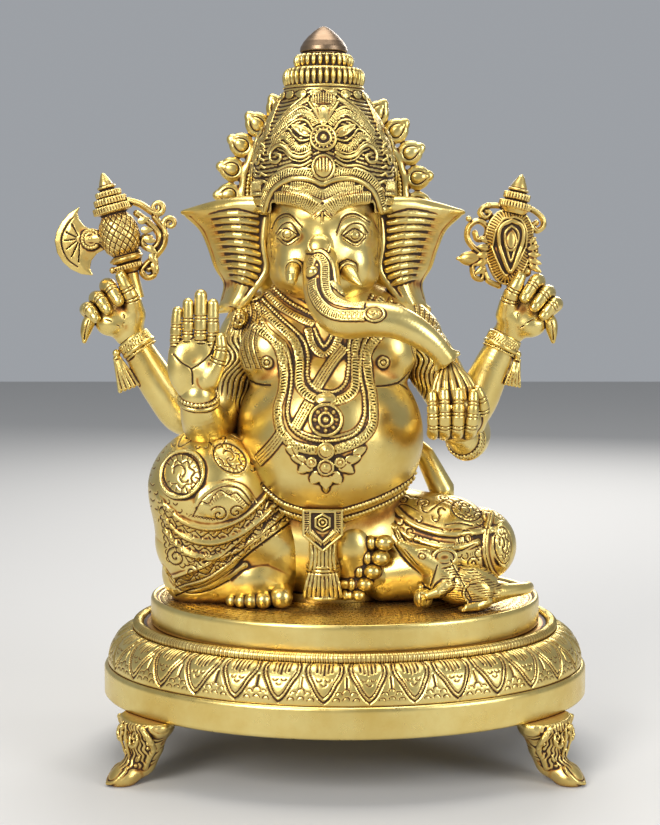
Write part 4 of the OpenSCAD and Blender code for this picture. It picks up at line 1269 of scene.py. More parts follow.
def make_folded_leg():
    clay = Clay((-12, -62, -1), (110, 38, 72), 0.58)
    clay.add(limb([(18, -2, 36, 34), (64, -20, 34.5, 31), (84.5, -20, 35, 22.8)]))
    clay.add(limb([(86.5, -21, 33, 21.6), (48, -36, 22, 18), (24, -33, 18, 16)]), 4)
    clay.add(limb([(40, -22, 28, 24), (64, -16, 22, 22)]), 5)
    clay.add(limb([(48, -24, 16, 18), (26, -30, 15, 15)]), 4)
    clay.keep_above(0.0)
    body = Clay((-12, -62, -1), (110, 38, 72), 1.5)
    body.add(limb([(18, -2, 36, 34), (64, -20, 34.5, 31), (84.5, -20, 35, 22.8)]))
    body.add(limb([(86.5, -21, 33, 21.6), (48, -36, 22, 18), (24, -33, 18, 16)]), 4)
    folds = [[(20, 58), (34, 46), (52, 40), (70, 38), (82, 40)],
             [(28, 62), (40, 52), (56, 47), (74, 46), (94, 47)],
             [(14, 52), (28, 38), (44, 30), (60, 26)]]
    ridges = []
    for line in folds:
        ridges += tube(landed(body, line, 2.0), 1.5)
    cuff = [(92, 56), (88, 46), (87, 34), (90, 22), (95, 15)]
    ridges += tube(landed(body, cuff, 2.0), 1.3)
    clay.add(ridges, 1.8)
    p, turn = tangent(body, (99, 37))
    clay.add(boss(p - turn[:, 2] * 1.2, turn, 6.5, 2.6, 2.2), 1.5)

    s = FrontSheet((-12, 0), (110, 72))
    paisley(s, (76, 58), 12.5, 0.48, -0.30)
    paisley(s, (98.5, 37), 7.0, 2.1, 0.1)
    for line in folds:
        fold(s, np.array(line) + (0, -2.2), 1.3, 0.9)
    s.cut(curve([(60, 33), (70, 35), (80, 39)], 1), 0.9, 0.6)
    s.cut(curve([(62, 51), (70, 52), (79, 50)], 1), 0.8, 0.5)
    for x, z, r, a in ((72, 42, 2.2, 0), (76, 43, 2.2, 60), (70, 33, 2.0, 150), (74, 32, 2.0, 210),
                       (83, 33, 2.6, 90),
                       (84, 52, 2.4, 220), (88, 50, 2.0, 120), (60, 58, 2.4, 30), (56, 55, 2.2, 160),
                       (50, 60, 2.2, 80),
                       (46, 54, 2.0, 200), (66, 62, 2.2, 310), (40, 46, 2.0, 20), (34, 52, 2.2, 240),
                       (44, 42, 2.0, 100)):
        s.cut(arc((x, z), r, a, a + 210), 0.75, 0.5)
    s.hatch(curve([(64, 37), (72, 39), (80, 42)], 1), 0.7, 2.0, 1.7, 0.5, 0.35, 0.6)
    s.hatch(curve([(74, 30), (80, 32), (86, 37)], 1), 0.7, 2.4, 1.7, 0.5, 0.35, 0.6)
    s.spiral((79, 27), 4.0, 1.4, 0.3, 1, 0.8, 0.55)
    s.cut(curve(cuff, 1), 1.1, 0.8)
    # Hem of the cloth over the shin
    hem = [(28, 42), (33, 34), (40, 27), (50, 20), (58, 17)]
    for shift, width in ((0, 1.2), (3.2, 0.8), (6.2, 1.1)):
        s.cut(curve(np.array(hem) + (shift * 0.7, shift), 1), width, 0.85)
    band = curve(np.array(hem) + (3.3, 4.6), 0.7)
    s.cut(band + np.column_stack([np.zeros(len(band)), 0.9 * np.sin(np.arange(len(band)) * 0.8)]), 0.6, 0.5)

    def carve(points, normals):
        x, y, z = points.T
        depth = s.on(points, normals)
        around = np.arctan2(z - 32, -(y + 12)) * 28
        rear = np.maximum(1 - smoothstep(-0.2, 0.1, -normals[:, 1]), smoothstep(0.65, 0.9, normals[:, 2]))
        rear = rear * smoothstep(3, 6, z) * (x > 34)
        return depth + CLOTH.press(x + 100, around + 300) * rear

    clay_piece("folded_leg", clay, carve)

    foot = Clay((-14, -62, -1), (58, -24, 58), 0.42)
    foot.add(ellipsoid((3, -44, 37), (13.5, 11.5, 15.5)))
    foot.add(ellipsoid((6, -41, 23), (13.5, 10, 12)), 5)
    foot.add(limb([(16, -39, 20, 11), (34, -37, 17, 12), (46, -34, 16, 12)]), 4)
    for x, z, r in ((24.5, 40.5, 5.3), (22.2, 31, 5.2), (17.2, 22.4, 4.9), (12.6, 14.4, 4.6),
                    (8.5, 7.4, 3.9)):
        foot.add(limb([(x - 13, -46.5, z - 0.4, r * 0.8), (x - 5, -49, z, r * 0.74)]), 0.8)
        foot.add(ellipsoid((x - 8.6, -48.8, z - 0.2), (r * 0.62, r * 0.86, r * 0.9)), 0.4)
        foot.add(ellipsoid((x - 0.4, -51.4, z + 0.3), (r * 1.12, r * 1.02, r * 0.94)), 0.4)
    foot.keep_above(0.02)
    clay_piece("folded_foot", foot)


# ---------------------------------------------------------------- head

def head_body(voxel):
    clay = Clay((-64, -64, 178), (38, 44, 258), voxel)
    clay.add([ellipsoid((-13, -10, 222), (36, 39, 35)), ellipsoid((-13, 0, 232), (38, 39, 33))], 2)
    clay.add(ellipsoid((-13, -22, 208), (30, 27, 23)), 6)
    clay.add([ellipsoid((-29, -33, 212), (14.5, 15, 17)), ellipsoid((3, -33, 212), (14.5, 15, 17))], 5)
    clay.add([ellipsoid((-28, -31, 234), (15, 13, 12)), ellipsoid((2, -31, 234), (15, 13, 12))], 6)
    clay.add(ellipsoid((-13.5, -36, 222), (14, 18, 22)), 7)
    clay.add([ellipsoid((-30.5, -20, 206), (16.5, 18, 13)), ellipsoid((4.5, -20, 206), (16.5, 18, 13)),
              ellipsoid((-13, 12, 203), (45, 15, 27))], 4)
    clay.add(ellipsoid((-13.5, -6, 244), (36, 38.5, 24)), 3)
    clay.cut([ellipsoid((-35, -49, 229), (8.5, 6, 6)), ellipsoid((8, -49, 229), (8.5, 6, 6))], 4)
    return clay


EYES = (((-35.9, 229.9), [(-45.8, 233.7), (-41.4, 240.8), (-34.3, 242.2), (-26.8, 234.0)],
         [(-43.0, 230.4), (-38.7, 235.9), (-33.2, 236.5), (-28.4, 229.6)],
         [(-42.2, 229.4), (-36.8, 233.6), (-28.6, 229.2)], [(-42.2, 229.4), (-36.0, 225.2), (-28.6, 229.2)]),
        ((5.9, 229.2), [(-5.2, 231.0), (-1.3, 240.3), (6.4, 242.4), (15.2, 237.4)],
         [(-2.4, 229.3), (3.1, 235.7), (9.7, 235.9), (14.0, 230.8)],
         [(-1.3, 228.9), (5.6, 233.2), (12.4, 229.4)], [(-1.3, 228.9), (6.4, 224.8), (12.4, 229.4)]))


def make_head():
    clay, body = head_body(0.5), head_body(1.2)
    extra = []
    s = FrontSheet((-64, 180), (38, 247))
    for (x, z), brow, lid, upper, lower in EYES:
        side = -1 if x < -14 else 1
        p, turn = tangent(body, (x, z))
        clay.add(ellipsoid(p + turn[:, 2] * 0.1, (6.6, 3.9, 1.9), turn), 0.9)
        extra += boss(p + turn[:, 2] * 1.7, turn, 1.3, 0.7)
        s.ring((x, z), 2.7, 0.62, 0.5)
        for line, width, depth in ((brow, 0.95, 0.75), (lid, 0.85, 0.7), (upper, 0.95, 0.8),
                                   (lower, 0.85, 0.7),
                                   (np.array(lower) + (0, -1.9), 0.6, 0.4)):
            s.cut(curve(line, 0.8), width, depth)
        s.cut(curve(np.array(brow) + (0, -1.9), 0.8), 0.55, 0.35)
        # A curl of skin over the tusk
        q = -31.2 if side < 0 else 1.8
        outer = ((-6.0, 206), (-5.4, 211.6), (-0.6, 214.4), (4.8, 211.8), (5.2, 207))
        inner = ((-3.6, 207), (-2.6, 210.6), (1.0, 211.6), (3.0, 209.2))
        s.cut(curve([(q + side * k, z) for k, z in outer], 0.8), 1.0, 0.8)
        s.cut(curve([(q + side * k, z) for k, z in inner], 0.8), 0.7, 0.5)
    clay.add(extra, 0.5)
    # Folds beside the face
    for side in (-1, 1):
        for k in range(3):
            x = -13 + side * (33.6 + 1.6 * k)
            s.cut(curve([(x, 244), (x + side * 0.8, 232), (x - side * 0.6, 216)], 1), 0.6, 0.4)
    clay.keep_below(255.0)

    def carve(points, normals):
        x, z = points[:, 0], points[:, 2]
        depth = s.on(points, normals)
        hair = smoothstep(0.2, 0.5, normals[:, 1])
        locks = np.sin(x * 1.7 + 1.6 * np.sin(z * 0.35)) * 0.5 + 0.35 * np.sin(x * 3.6 + z * 0.8)
        return depth - hair * 0.55 * smoothstep(0.0, 0.7, locks)

    clay_piece("head", clay, carve)


TRUNK = [(-15, -43, 222, 6.5), (-15, -52, 214, 10.0), (-14.8, -62.5, 203.5, 11.2), (-13, -73, 192.5, 11.3),
         (-7.5, -81.5, 183, 11.1),
         (1, -86, 179, 11), (14, -88.5, 180, 10.6), (28, -89.5, 178.5, 10), (40, -89.5, 173, 8.9),
         (49.5, -88.5, 166.4, 7.5),
         (55.5, -87, 160.2, 6.4), (58.2, -86, 156.8, 6.2)]


def make_trunk():
    path = curve(TRUNK, 2.2)
    clay = Clay((-36, -106, 146), (74, -22, 246), 0.5)
    clay.add(limb(path))
    # The tip flares into two lips
    clay.add(limb([(59, -86, 159.4, 4.4), (65.6, -85, 159.4, 1.7)]), 1.5)
    clay.add(limb([(55, -86, 156, 4.2), (53.4, -85.4, 150.4, 1.7)]), 1.5)
    clay.cut([ball((62, -87, 152.4), 3.9)], 0.9)
    centre = even(path[:, :3], 1.0)
    along = np.gradient(centre, axis=0)
    along /= np.linalg.norm(along, axis=1, keepdims=True)
    radius = np.interp(np.arange(len(centre)), np.linspace(0, len(centre) - 1, len(path)), path[:, 3])
    front = np.tile(vec(0, -1, 0.15), (len(centre), 1))
    front -= along * np.einsum("ij,ij->i", front, along)[:, None]
    front /= np.linalg.norm(front, axis=1, keepdims=True)
    across = np.cross(along, front)

    body = Clay(clay.low, clay.low + clay.count * clay.voxel, 1.2)
    body.add(ellipsoid((-13.5, -36, 222), (14, 18, 22)))
    body.add(limb(path), 3)
    end = int(np.argmin(np.abs(centre[:, 0] - 17) + (centre[:, 1] > -80) * 99))
    # Two milled bands run down the trunk to an oval boss, one out of the volute
    volute = [(-21.5, 210.6), (-19.7, 214.8), (-16.0, 216.0), (-13.0, 212.4), (-12.4, 207.5), (-12.3, 201.5),
              (-11.0, 195.8), (-7.0, 191.6), (0, 189.0), (10, 188.4)]
    lower = [(-20.4, 202.4), (-19.6, 196), (-16.4, 189.6), (-11.5, 185.2), (-3.7, 182.6), (10, 182.6)]
    plain = [(-23.5, 219.4), (-19.8, 218.9), (-14.8, 219.4), (-10.0, 215.4), (-7.4, 209), (-6.4, 202),
             (-4.4, 196),
             (0, 192.8)]
    bands = milled(body, volute, 1.45, 1.25, 0.5, 0.55) + milled(body, lower, 1.75, 1.25, 0.5, 0.55)
    bands += wire(body, plain, 1.25, 0.1)
    p, turn = tangent(body, (-20.2, 207.2))
    bands += boss(p, turn, 3.9, 3.4)
    # The crest on its root looks out more than the surface does
    p, turn = tangent(body, (-15.9, 222.6))
    out = unit(turn[:, 2] + 1.6 * FRONT)
    turn = np.column_stack([vec(1, 0, 0), np.cross(out, vec(1, 0, 0)), out])
    p = p + out * 1.2
    bands += boss(p, turn, 6.6, 3.0) + hoop(p, turn, 6.6, 0.75, lift=0.5)
    bands += scroll(p + turn[:, 0] * 1.8 + turn[:, 2] * 1.7, turn, 3.6, 1.2, -0.5, 1, 0.85)
    bands += tube(np.array([p + turn[:, 0] * x + turn[:, 1] * y + turn[:, 2] * 1.5
                            for x, y in ((-3.8, 1.4), (-4.0, -1.2), (-2.2, -3.2), (0.8, -3.6))]), 0.6)
    p, turn = tangent(body, (-8.6, 201.5))
    bands += leaf(p, turn, -66, 9.5, 4.6, 1.3, 0.5)
    out = unit(front[end] * math.cos(0.20) - across[end] * math.sin(0.20))
    turn = np.column_stack([along[end], np.cross(out, along[end]), out])
    p = centre[end] + out * radius[end]
    bands += boss(p - out * 0.4, turn, 5.8, 1.7, 0.8) + hoop(p, turn, 5.7, 0.7, 0.8, 0.3)
    bands += tube(np.array([p + turn[:, 0] * x + turn[:, 1] * y + out * 1.3
                            for x, y in ((-3, 0.6), (-1.4, -1.0), (0.2, 0.9), (1.6, -0.8), (3, 0.6))]), 0.45)
    clay.add(bands, 0.45)

    def carve(points, normals):
        nearest = np.zeros(len(points), int)
        for first in range(0, len(points), 40000):
            gaps = points[first:first + 40000, None, :] - centre[None, ::2, :]
            nearest[first:first + 40000] = np.argmin((gaps ** 2).sum(2), axis=1) * 2
        off = points - centre[nearest]
        s = nearest + np.einsum("ij,ij->i", off, along[nearest])
        a = np.degrees(np.arctan2(np.einsum("ij,ij->i", off, across[nearest]),
                                  np.einsum("ij,ij->i", off, front[nearest])))
        under = smoothstep(0.4, 0.7, np.abs(a) / 180.0) * smoothstep(20, 30, s)
        under = under * (1 - smoothstep(len(centre) - 18, len(centre) - 6, s))
        return -0.35 * under * (1 - smoothstep(0.12, 0.26, np.abs(np.mod(s / 4.0, 1.0) - 0.5)))

    clay_piece("trunk", clay, carve)


def make_tusk(side, name):
    if side < 0:
        path = [(-30.6, -43, 211, 4.8), (-31.8, -52, 208.4, 4.5), (-32.4, -58, 205.2, 4.1),
                (-32.4, -60.5, 202.4, 3.4)]
    else:
        path = [(-0.2, -43, 209.6, 5.4), (1.8, -53, 206.8, 4.9), (5.0, -60, 203.0, 3.5),
                (8.4, -65, 199.6, 1.3)]
    b = np.array(path)
    clay = Clay(b[:, :3].min(0) - 9, b[:, :3].max(0) + 8, 0.3)
    clay.add(limb(curve(path, 1.5)))
    way = b[2, :3] - b[0, :3]
    turn = turned(way)
    clay.add(hoop(b[1, :3] - turn[:, 2] * 1.6, turn, 5.2, 0.8, lift=0), 0.3)
    clay_piece(name, clay)


def make_ear(side, name):
    """A fan of ribs between the rim at the head and a sweeping outer edge."""
    inner = curve([(34, 249), (36, 240), (37.5, 224), (36, 208), (44, 195), (52, 184)], 1.0)
    outer = curve([(88, 244), (77.5, 234), (72, 222), (68, 210), (62, 199), (64, 187)], 1.0)
    inner, outer = even(inner, 1.2), even(outer, 1.2)
    rows = 56
    t = np.linspace(0, 1, rows)
    inner = np.column_stack([np.interp(t, np.linspace(0, 1, len(inner)), inner[:, k]) for k in (0, 1)])
    outer = np.column_stack([np.interp(t, np.linspace(0, 1, len(outer)), outer[:, k]) for k in (0, 1)])

    def row(i, bow=0.0, lift=0.0):
        u = np.linspace(0, 1, 9)
        flat = inner[i] + (outer[i] - inner[i]) * u[:, None]
        y = -6 + 15 * u - 7.5 * np.sin(math.pi * u) - lift * np.sin(math.pi * u) ** 0.5
        z = flat[:, 1] + bow * np.sin(math.pi * u)
        return np.column_stack([-14 + side * flat[:, 0], y, z])

    xs = sorted((-14 + side * 24, -14 + side * 94))
    clay = Clay((xs[0], -22, 174), (xs[1], 22, 256), 0.5)
    for i in range(rows):
        clay.add(tube(row(i, 1.0), 1.7), 0.6)
    ribs = np.linspace(6, rows - 14, 10).round().astype(int)
    for i in ribs:
        line = row(i, 2.6, 1.5)[1:8]
        clay.add(tube(line, np.interp(np.linspace(0, 1, len(line)), [0, 0.35, 1], [1.9, 2.7, 1.1])), 0.5)
        clay.add(tube(line + vec(0, 3.6, 0), 1.5), 0.8)
    # The thick roll along the top, tapering to the tip
    clay.add(limb(curve([(-14 + side * 30, -10, 247, 6.0), (-14 + side * 44, -8, 248.5, 5.6),
                         (-14 + side * 60, -3, 248, 5.0),
                         (-14 + side * 76, 4, 246, 3.6), (-14 + side * 90, 9, 244.2, 1.3)], 2)), 1.5)
    edge = np.column_stack([-14 + side * outer[:, 0], np.full(rows, 9.0), outer[:, 1]])
    clay.add(tube(edge[2:], 2.1), 1.0)
    rim = np.column_stack([-14 + side * inner[:, 0], np.full(rows, -7.0), inner[:, 1]])
    clay.add(tube(rim, 2.4), 1.0)
    clay.add(limb([(-14 + side * 50, -4, 188, 4.6), (-14 + side * 61, 6, 184, 4.0),
                   (-14 + side * 67, 8, 182, 2.6)]), 3.0)

    def carve(points, normals):
        return -0.25 * (np.abs(np.mod(points[:, 2] + 0.2 * points[:, 0] * side, 2.1) - 1.05) < 0.28) \
            * smoothstep(0.3, 0.6, normals[:, 1]) * (points[:, 2] < 238)

    clay_piece(name, clay, carve)


# ---------------------------------------------------------------- crown and halo

CROWN_AT = vec(-13.5, -2, 243)
CLEAR = 54   # a radius that is clear of the crown
CROWN = [(42, 0), (43.8, 5), (44.8, 14), (44.8, 24), (43.6, 35), (41.2, 45), (37, 55), (31.6, 64), (27, 71),
         (25.2, 77), (23.5, 79), (23.5, 90),
         (16.5, 91), (16.5, 98.5), (13, 99)]


def crown_body(voxel):
    clay = Clay(CROWN_AT - (CLEAR, CLEAR, 12), CROWN_AT + (CLEAR, CLEAR, 104), voxel)
    return clay.add(spun(CROWN_AT, CROWN))


def round_path(body, pairs, pitch, smooth=True):
    """Lay (degrees from the front, height) pairs on the crown."""
    p = np.array([(a * 0.8, z, 0) for a, z in pairs], float)
    p = even(curve(p, 1.5) if smooth else p, pitch)
    a = np.radians(p[:, 0] / 0.8)
    way = np.column_stack([np.sin(a), -np.cos(a), 0 * a])
    start = np.column_stack([CROWN_AT[0] + CLEAR * way[:, 0], CROWN_AT[1] + CLEAR * way[:, 1], CROWN_AT[2]
                             + p[:, 1]])
    return body.land(start, -way)


def round_frame(body, angle, z):
    a = math.radians(angle)
    way = vec(math.sin(a), -math.cos(a), 0)
    p = body.land([CROWN_AT * (1, 1, 0) + way * CLEAR + (0, 0, CROWN_AT[2] + z)], -way)[0]
    out = body.slope([p])[0]
    right = vec(math.cos(a), math.sin(a), 0)
    return p, np.column_stack([right, np.cross(out, right), out])


def ribbed(body, path, half, radius, rails=0.55, lean=0.0, lift=0.2):
    side, out = sides(body, path)
    side = side * np.broadcast_to(half, len(path))[:, None]
    step = np.gradient(path, axis=0)
    step /= np.linalg.norm(step, axis=1, keepdims=True) + 1e-9
    shapes = [link((*(p - s + t * lean + o * lift), radius), (*(p + s - t * lean + o * lift), radius))
              for p, s, o, t in zip(path, side, out, step)]
    for sign in (-1, 1):
        if rails:
            shapes += tube(path
                           + sign * side * (1 + (rails + 0.3) / np.broadcast_to(half, len(path))[:, None]),
                           rails)
    return shapes


MOTIF_Z = 44.6   # height of the rosette over the crown's foot

# Lines of the crown's ornament right of a rosette, (sideways, up) from its middle
BAND_HIGH = [(4.6, 8.8), (10, 13.8), (17.8, 16.4), (25, 13.6), (30.5, 7.7), (34.6, 0.4)]
BAND_LOW = [(8.5, -4.2), (13.4, -6), (18.9, -4.4), (23.3, 0.5), (27.9, 2.4), (32, -1.4), (35.6, -7.6)]
EYE_OVER = [(7.4, 5.5), (12.6, 10.6), (20, 11.4), (26.4, 6.8), (31, 1.6)]
EYE_UNDER = [(8.6, -0.4), (14.4, -1.4), (19.6, 1.6), (24.4, 6.0), (29, 4.4)]
CURL = [(7.8, -8.6), (13.4, -11.4), (20, -9.9), (24.4, -5.7), (29.2, -3.6), (33.2, -7.2), (32.8, -13.0),
        (28.4, -13.8), (26.4, -10.4), (29.4, -9.2)]
LINE_LOW = [(7.4, -13.4), (13.4, -16.4), (21, -16), (28, -18.4)]
SPRAY = [(14.5, 24.6), (20.5, 22.6), (26.5, 17.8), (31.5, 11.4), (35.4, 4)]


def motif(body, middle, squeeze):
    """One rosette with its leaves and bands, on the crown at an angle from the front."""
    thick, fine = [], []

    def place(flat, side=1):
        angle = np.degrees(np.arcsin(np.clip(np.array(flat)[:, 0] / 45.0, -1, 1))) * squeeze
        return np.column_stack([middle + side * angle, MOTIF_Z + np.array(flat)[:, 1]])

    def spot(x, z):
        a, h = place([(x, z)])[0]
        return round_frame(body, a, h)

    def line(flat, radius, lift=0.25, side=1):
        path = round_path(body, place(flat, side), 1.2)
        return tube(path + body.slope(path) * lift, radius)

    p, turn = spot(0, 0)
    thick += boss(p, turn, 8.2, 2.2) + hoop(p, turn, 7.6, 0.9, lift=0.9)
    thick += hoop(p, turn, 4.7, 0.85, lift=1.9)
    fine += boss(p + turn[:, 2] * 2.0, turn, 1.9, 1.3) + drops(p, turn, 6.1, 16, 0.6, 1.5)
    p, turn = spot(0, -17)
    thick += boss(p, turn, 5.6, 2.4, 1.25) + hoop(p - turn[:, 1] * 0.6, turn, 6.6, 0.8, 1.12, 0.5)
    for x in (-2.1, 0, 2.1):
        fine += tube(np.array([p + turn[:, 2] * 2.3 + turn[:, 0] * x + turn[:, 1] * y
                               for y in (4.5, 1, -2.5)]), 0.6)
    for s in (-1, 1):
        for flat, half in ((BAND_HIGH, 1.55), (BAND_LOW, 1.5)):
            fine += ribbed(body, round_path(body, place(flat, s), 1.35), half, 0.52, 0.5, 0.35, 0.4)
        for flat, radius in ((EYE_OVER, 0.8), (EYE_UNDER, 0.75), (CURL, 1.15), (LINE_LOW, 0.85)):
            fine += line(flat, radius, 0.3, s)
        fine += line(np.array(CURL)[:6] + (0, 2.2), 0.6, 0.2, s)
        fine += line(np.array(CURL)[:5] + (0, -2.3), 0.65, 0.2, s)
        fine += line(np.array(LINE_LOW) + (0, -2.2), 0.6, 0.2, s)
        fine += line(np.array(BAND_HIGH)[1:] + (0.6, 3.4), 0.8, 0.2, s)
        fine += line(np.array(BAND_HIGH)[2:] + (1.6, 6.2), 0.75, 0.2, s)
        p, turn = spot(s * 8.8, 2.2)
        thick += leaf(p, turn, 90 - s * 62, 13.5, 5.4, 1.7, 0.7)
        fine += boss(p + turn[:, 0] * s * 5.6 + turn[:, 1] * 2.8 + turn[:, 2] * 1.4, turn, 1.5, 0.9)
        for x, z in ((13.5, 22.4), (10.6, 24.2), (7.6, 25.2)):
            fine += line([(0.8, 8.6), (x * 0.45, 15.5), (x, z)], 0.85, 0.3, s)
        fine += ribbed(body, round_path(body, place(SPRAY, s), 1.35), 1.2, 0.5, 0.45, 0.3, 0.4)
        fine += line([(19.5, 26.4), (25, 23.4), (30.4, 18.4), (34.6, 12)], 0.7, 0.25, s)
    p, turn = spot(0, 19.8)
    thick += leaf(p, turn, -90, 11.5, 5.6, 1.8, 0.7)
    p, turn = spot(0, 23.8)
    thick += boss(p, turn, 8.0 * min(1, squeeze + 0.1), 2.1, 0.62)
    thick += hoop(p, turn, 7.6 * min(1, squeeze + 0.1), 0.7, 0.62, 0.4)
    for k in range(-4, 5):
        x = k * 1.6 * squeeze
        fine += tube(np.array([p + turn[:, 0] * x + turn[:, 1] * y + turn[:, 2] * (2.3 - 0.03 * x * x)
                               for y in (-2.6, 3.4)]), 0.42)
    return thick, fine


def make_crown():
    clay = crown_body(0.46)
    body = crown_body(1.2)
    body.add([ellipsoid((-13, 0, 232), (38, 39, 33)), ellipsoid((-13.5, -36, 222), (14, 18, 22))], 4)
    clay.d[:, :, :max(0, int(round((CROWN_AT[2] - clay.low[2]) / clay.voxel)))] = FAR
    # Over the forehead its edge rises to the band that hangs there
    x, y, z = clay.axes()
    edge = np.interp(np.abs(x + 14), (0, 7, 14.5, 28, 31.5, 32), (243, 243, 247.4, 249.6, 249, 243))
    front = y < -20
    clay.d[:, front] = np.maximum(clay.d[:, front], edge[:, None, None] - z[None, None, :])
    thick, fine = motif(body, 0, 1.0)
    for middle in (98, 180, 262):
        more = motif(body, middle, 0.72)
        thick += more[0]
        fine += more[1]
    back = range(60, 301, 6)   # degrees round from the front
    thick += tube(round_path(body, [(a, 2.2) for a in back], 3.0, False), 2.2)
    fine += ribbed(body, round_path(body, [(a, 7.4) for a in back], 2.0, False), 1.5, 0.9, 0, 0.8, 0.5)
    fine += [ball(p, 1.4) for p in round_path(body, [(a, 12.0) for a in back], 2.9, False)]
    fine += ribbed(body, round_path(body, [(a, 17.2) for a in back], 1.7, False), 2.2, 0.6, 0.55, 0.4, 0.4)

    def brow(flat, pitch=1.2):
        flat = np.array([(-x, z) for x, z in flat[::-1]] + list(flat[1 if flat[0][0] == 0 else 0:]))
        path = np.column_stack([flat[:, 0] - 14.0, np.zeros(len(flat)), flat[:, 1] + CROWN_AT[2] + MOTIF_Z])
        path = even(curve(path, 1.2), pitch)
        path[:, 1] = -AHEAD
        return body.land(path, (0, 1, 0))

    # The arch over the forehead, and the hatched points that hang inside it
    ridge = [(0, -27.6), (4.4, -25.8), (10, -24.4), (19, -24.4), (27.5, -28.4), (32.5, -34.6), (35.6, -43.6)]
    rope = [(0, -23.4), (8, -21.2), (18.9, -20.2), (29.4, -24.6), (35.4, -32.4), (38.6, -43.6)]
    path = brow(ridge, 2.0)
    thick += tube(path, 1.7)
    fine += ribbed(body, brow(rope, 1.5), 1.3, 0.6, 0.6, 0.45, 0.5)
    fine += tube(brow(np.array(rope) + (0.6, 2.9)), 0.75)
    fine += ribbed(body, brow([(0, -33.4), (9, -29.6), (19, -28.0)], 1.35), 2.2, 0.55, 0.0, 0.0, 0.3)
    fine += ribbed(body, brow([(0, -38.4), (11, -33.4), (24, -29.6)], 1.3), 1.0, 0.5, 0.55, 0.35, 0.5)
    for side in (-1, 1):
        for k in range(7):
            a = side * (52 + 2.2 * k)
            p, turn = round_frame(body, a, 15 + 4.6 * k)
            fine += tube(np.array([p - turn[:, 0] * 3.4 - turn[:, 1] * 1.4, p + turn[:, 2] * 1.2,
                                   p + turn[:, 0] * 3.4 - turn[:, 1] * 1.4]), 0.85)
    # A row of buds under the neck
    for k in range(18):
        p, turn = round_frame(body, 10 + 20 * k, 72.6)
        thick += [ellipsoid(p, (3.4, 2.3, 1.9), turn)]
        fine += hoop(p, turn, 3.2, 0.5, 0.66, 0.9)
    # The two rings of lobes under the finial
    for count, r, z, wide, tall in ((38, 22.2, 84.4, 1.95, 5.6), (26, 15.2, 94.9, 1.8, 4.2)):
        for k in range(count):
            a = 2 * math.pi * (k + 0.5) / count
            way = vec(math.sin(a), -math.cos(a), 0)
            at = CROWN_AT + way * (r + 0.6) + (0, 0, z)
            fine.append(ellipsoid(at, (wide * 0.86, 3.3, tall),
                                  np.column_stack([vec(-way[1], way[0], 0), way, vec(0, 0, 1)])))
    clay.add(thick, 0.5)
    clay.add(fine, 0.22)
    clay.add([spun(CROWN_AT + (0, 0, 77.6), [(25.2, 0), (25.8, 0.7), (25.2, 1.5)]),
              spun(CROWN_AT + (0, 0, 89.3), [(19.6, 0), (20.2, 0.7), (18.6, 1.5)])], 0.4)
    point = [(0, -46.4), (2.6, -43.8), (7, -40.4), (14.5, -37.4), (22, -35.8), (28, -35.4)]
    path = brow(point, 1.3)
    half = np.interp(np.abs(path[:, 0] + 14.0), (0, 2.6, 7, 14.5, 28), (6.2, 4.6, 3.5, 2.7, 2.2))
    clay.add(ribbed(body, path, half, 2.0, 0, 0, -0.6), 0.8)
    clay.add(ribbed(body, path, half, 0.5, 0.6, 0.2, 1.7), 0.25)

    def carve(points, normals):
        p = points - CROWN_AT
        ground = np.hypot(p[:, 0], p[:, 1]) - np.interp(p[:, 2], [q[1] for q in CROWN], [q[0] for q in CROWN])
        bare = (1 - smoothstep(0.2, 0.8, ground)) * (p[:, 2] > 19) * (p[:, 2] < 76)
        # Slanting feather lines fill the bare ground
        slant = p[:, 2] + 9.0 * np.abs(np.sin(1.5 * np.arctan2(p[:, 0], -p[:, 1])))
        return bare * (-0.5 + 0.42 * smoothstep(-0.2, 0.4, np.sin(slant * 2 * math.pi / 2.6)))

    clay_piece("crown", clay, carve, 0.06)


def make_finial():
    at = CROWN_AT + (0, 0, 99)
    clay = Clay(at - (18, 18, 0.5), at + (18, 18, 20), 0.32)
    bud = [(13.0, 0.2), (15.0, 2.2), (14.6, 4.8), (12.6, 8.2), (9.6, 11.6), (6.2, 14.6), (3.2, 16.8),
           (1.0, 17.8)]
    clay.add(spun(at, bud))
    clay.add([spun(at, [(12.4, 0), (13.6, 0.7), (12.6, 1.6)])], 0.2)

    def carve(points, normals):
        z = points[:, 2] - at[2]
        return -0.4 * (1 - smoothstep(0.25, 0.6, np.abs(z - 1.2)))

    clay_piece("crown_finial", clay, carve, 0.0, COPPERY)


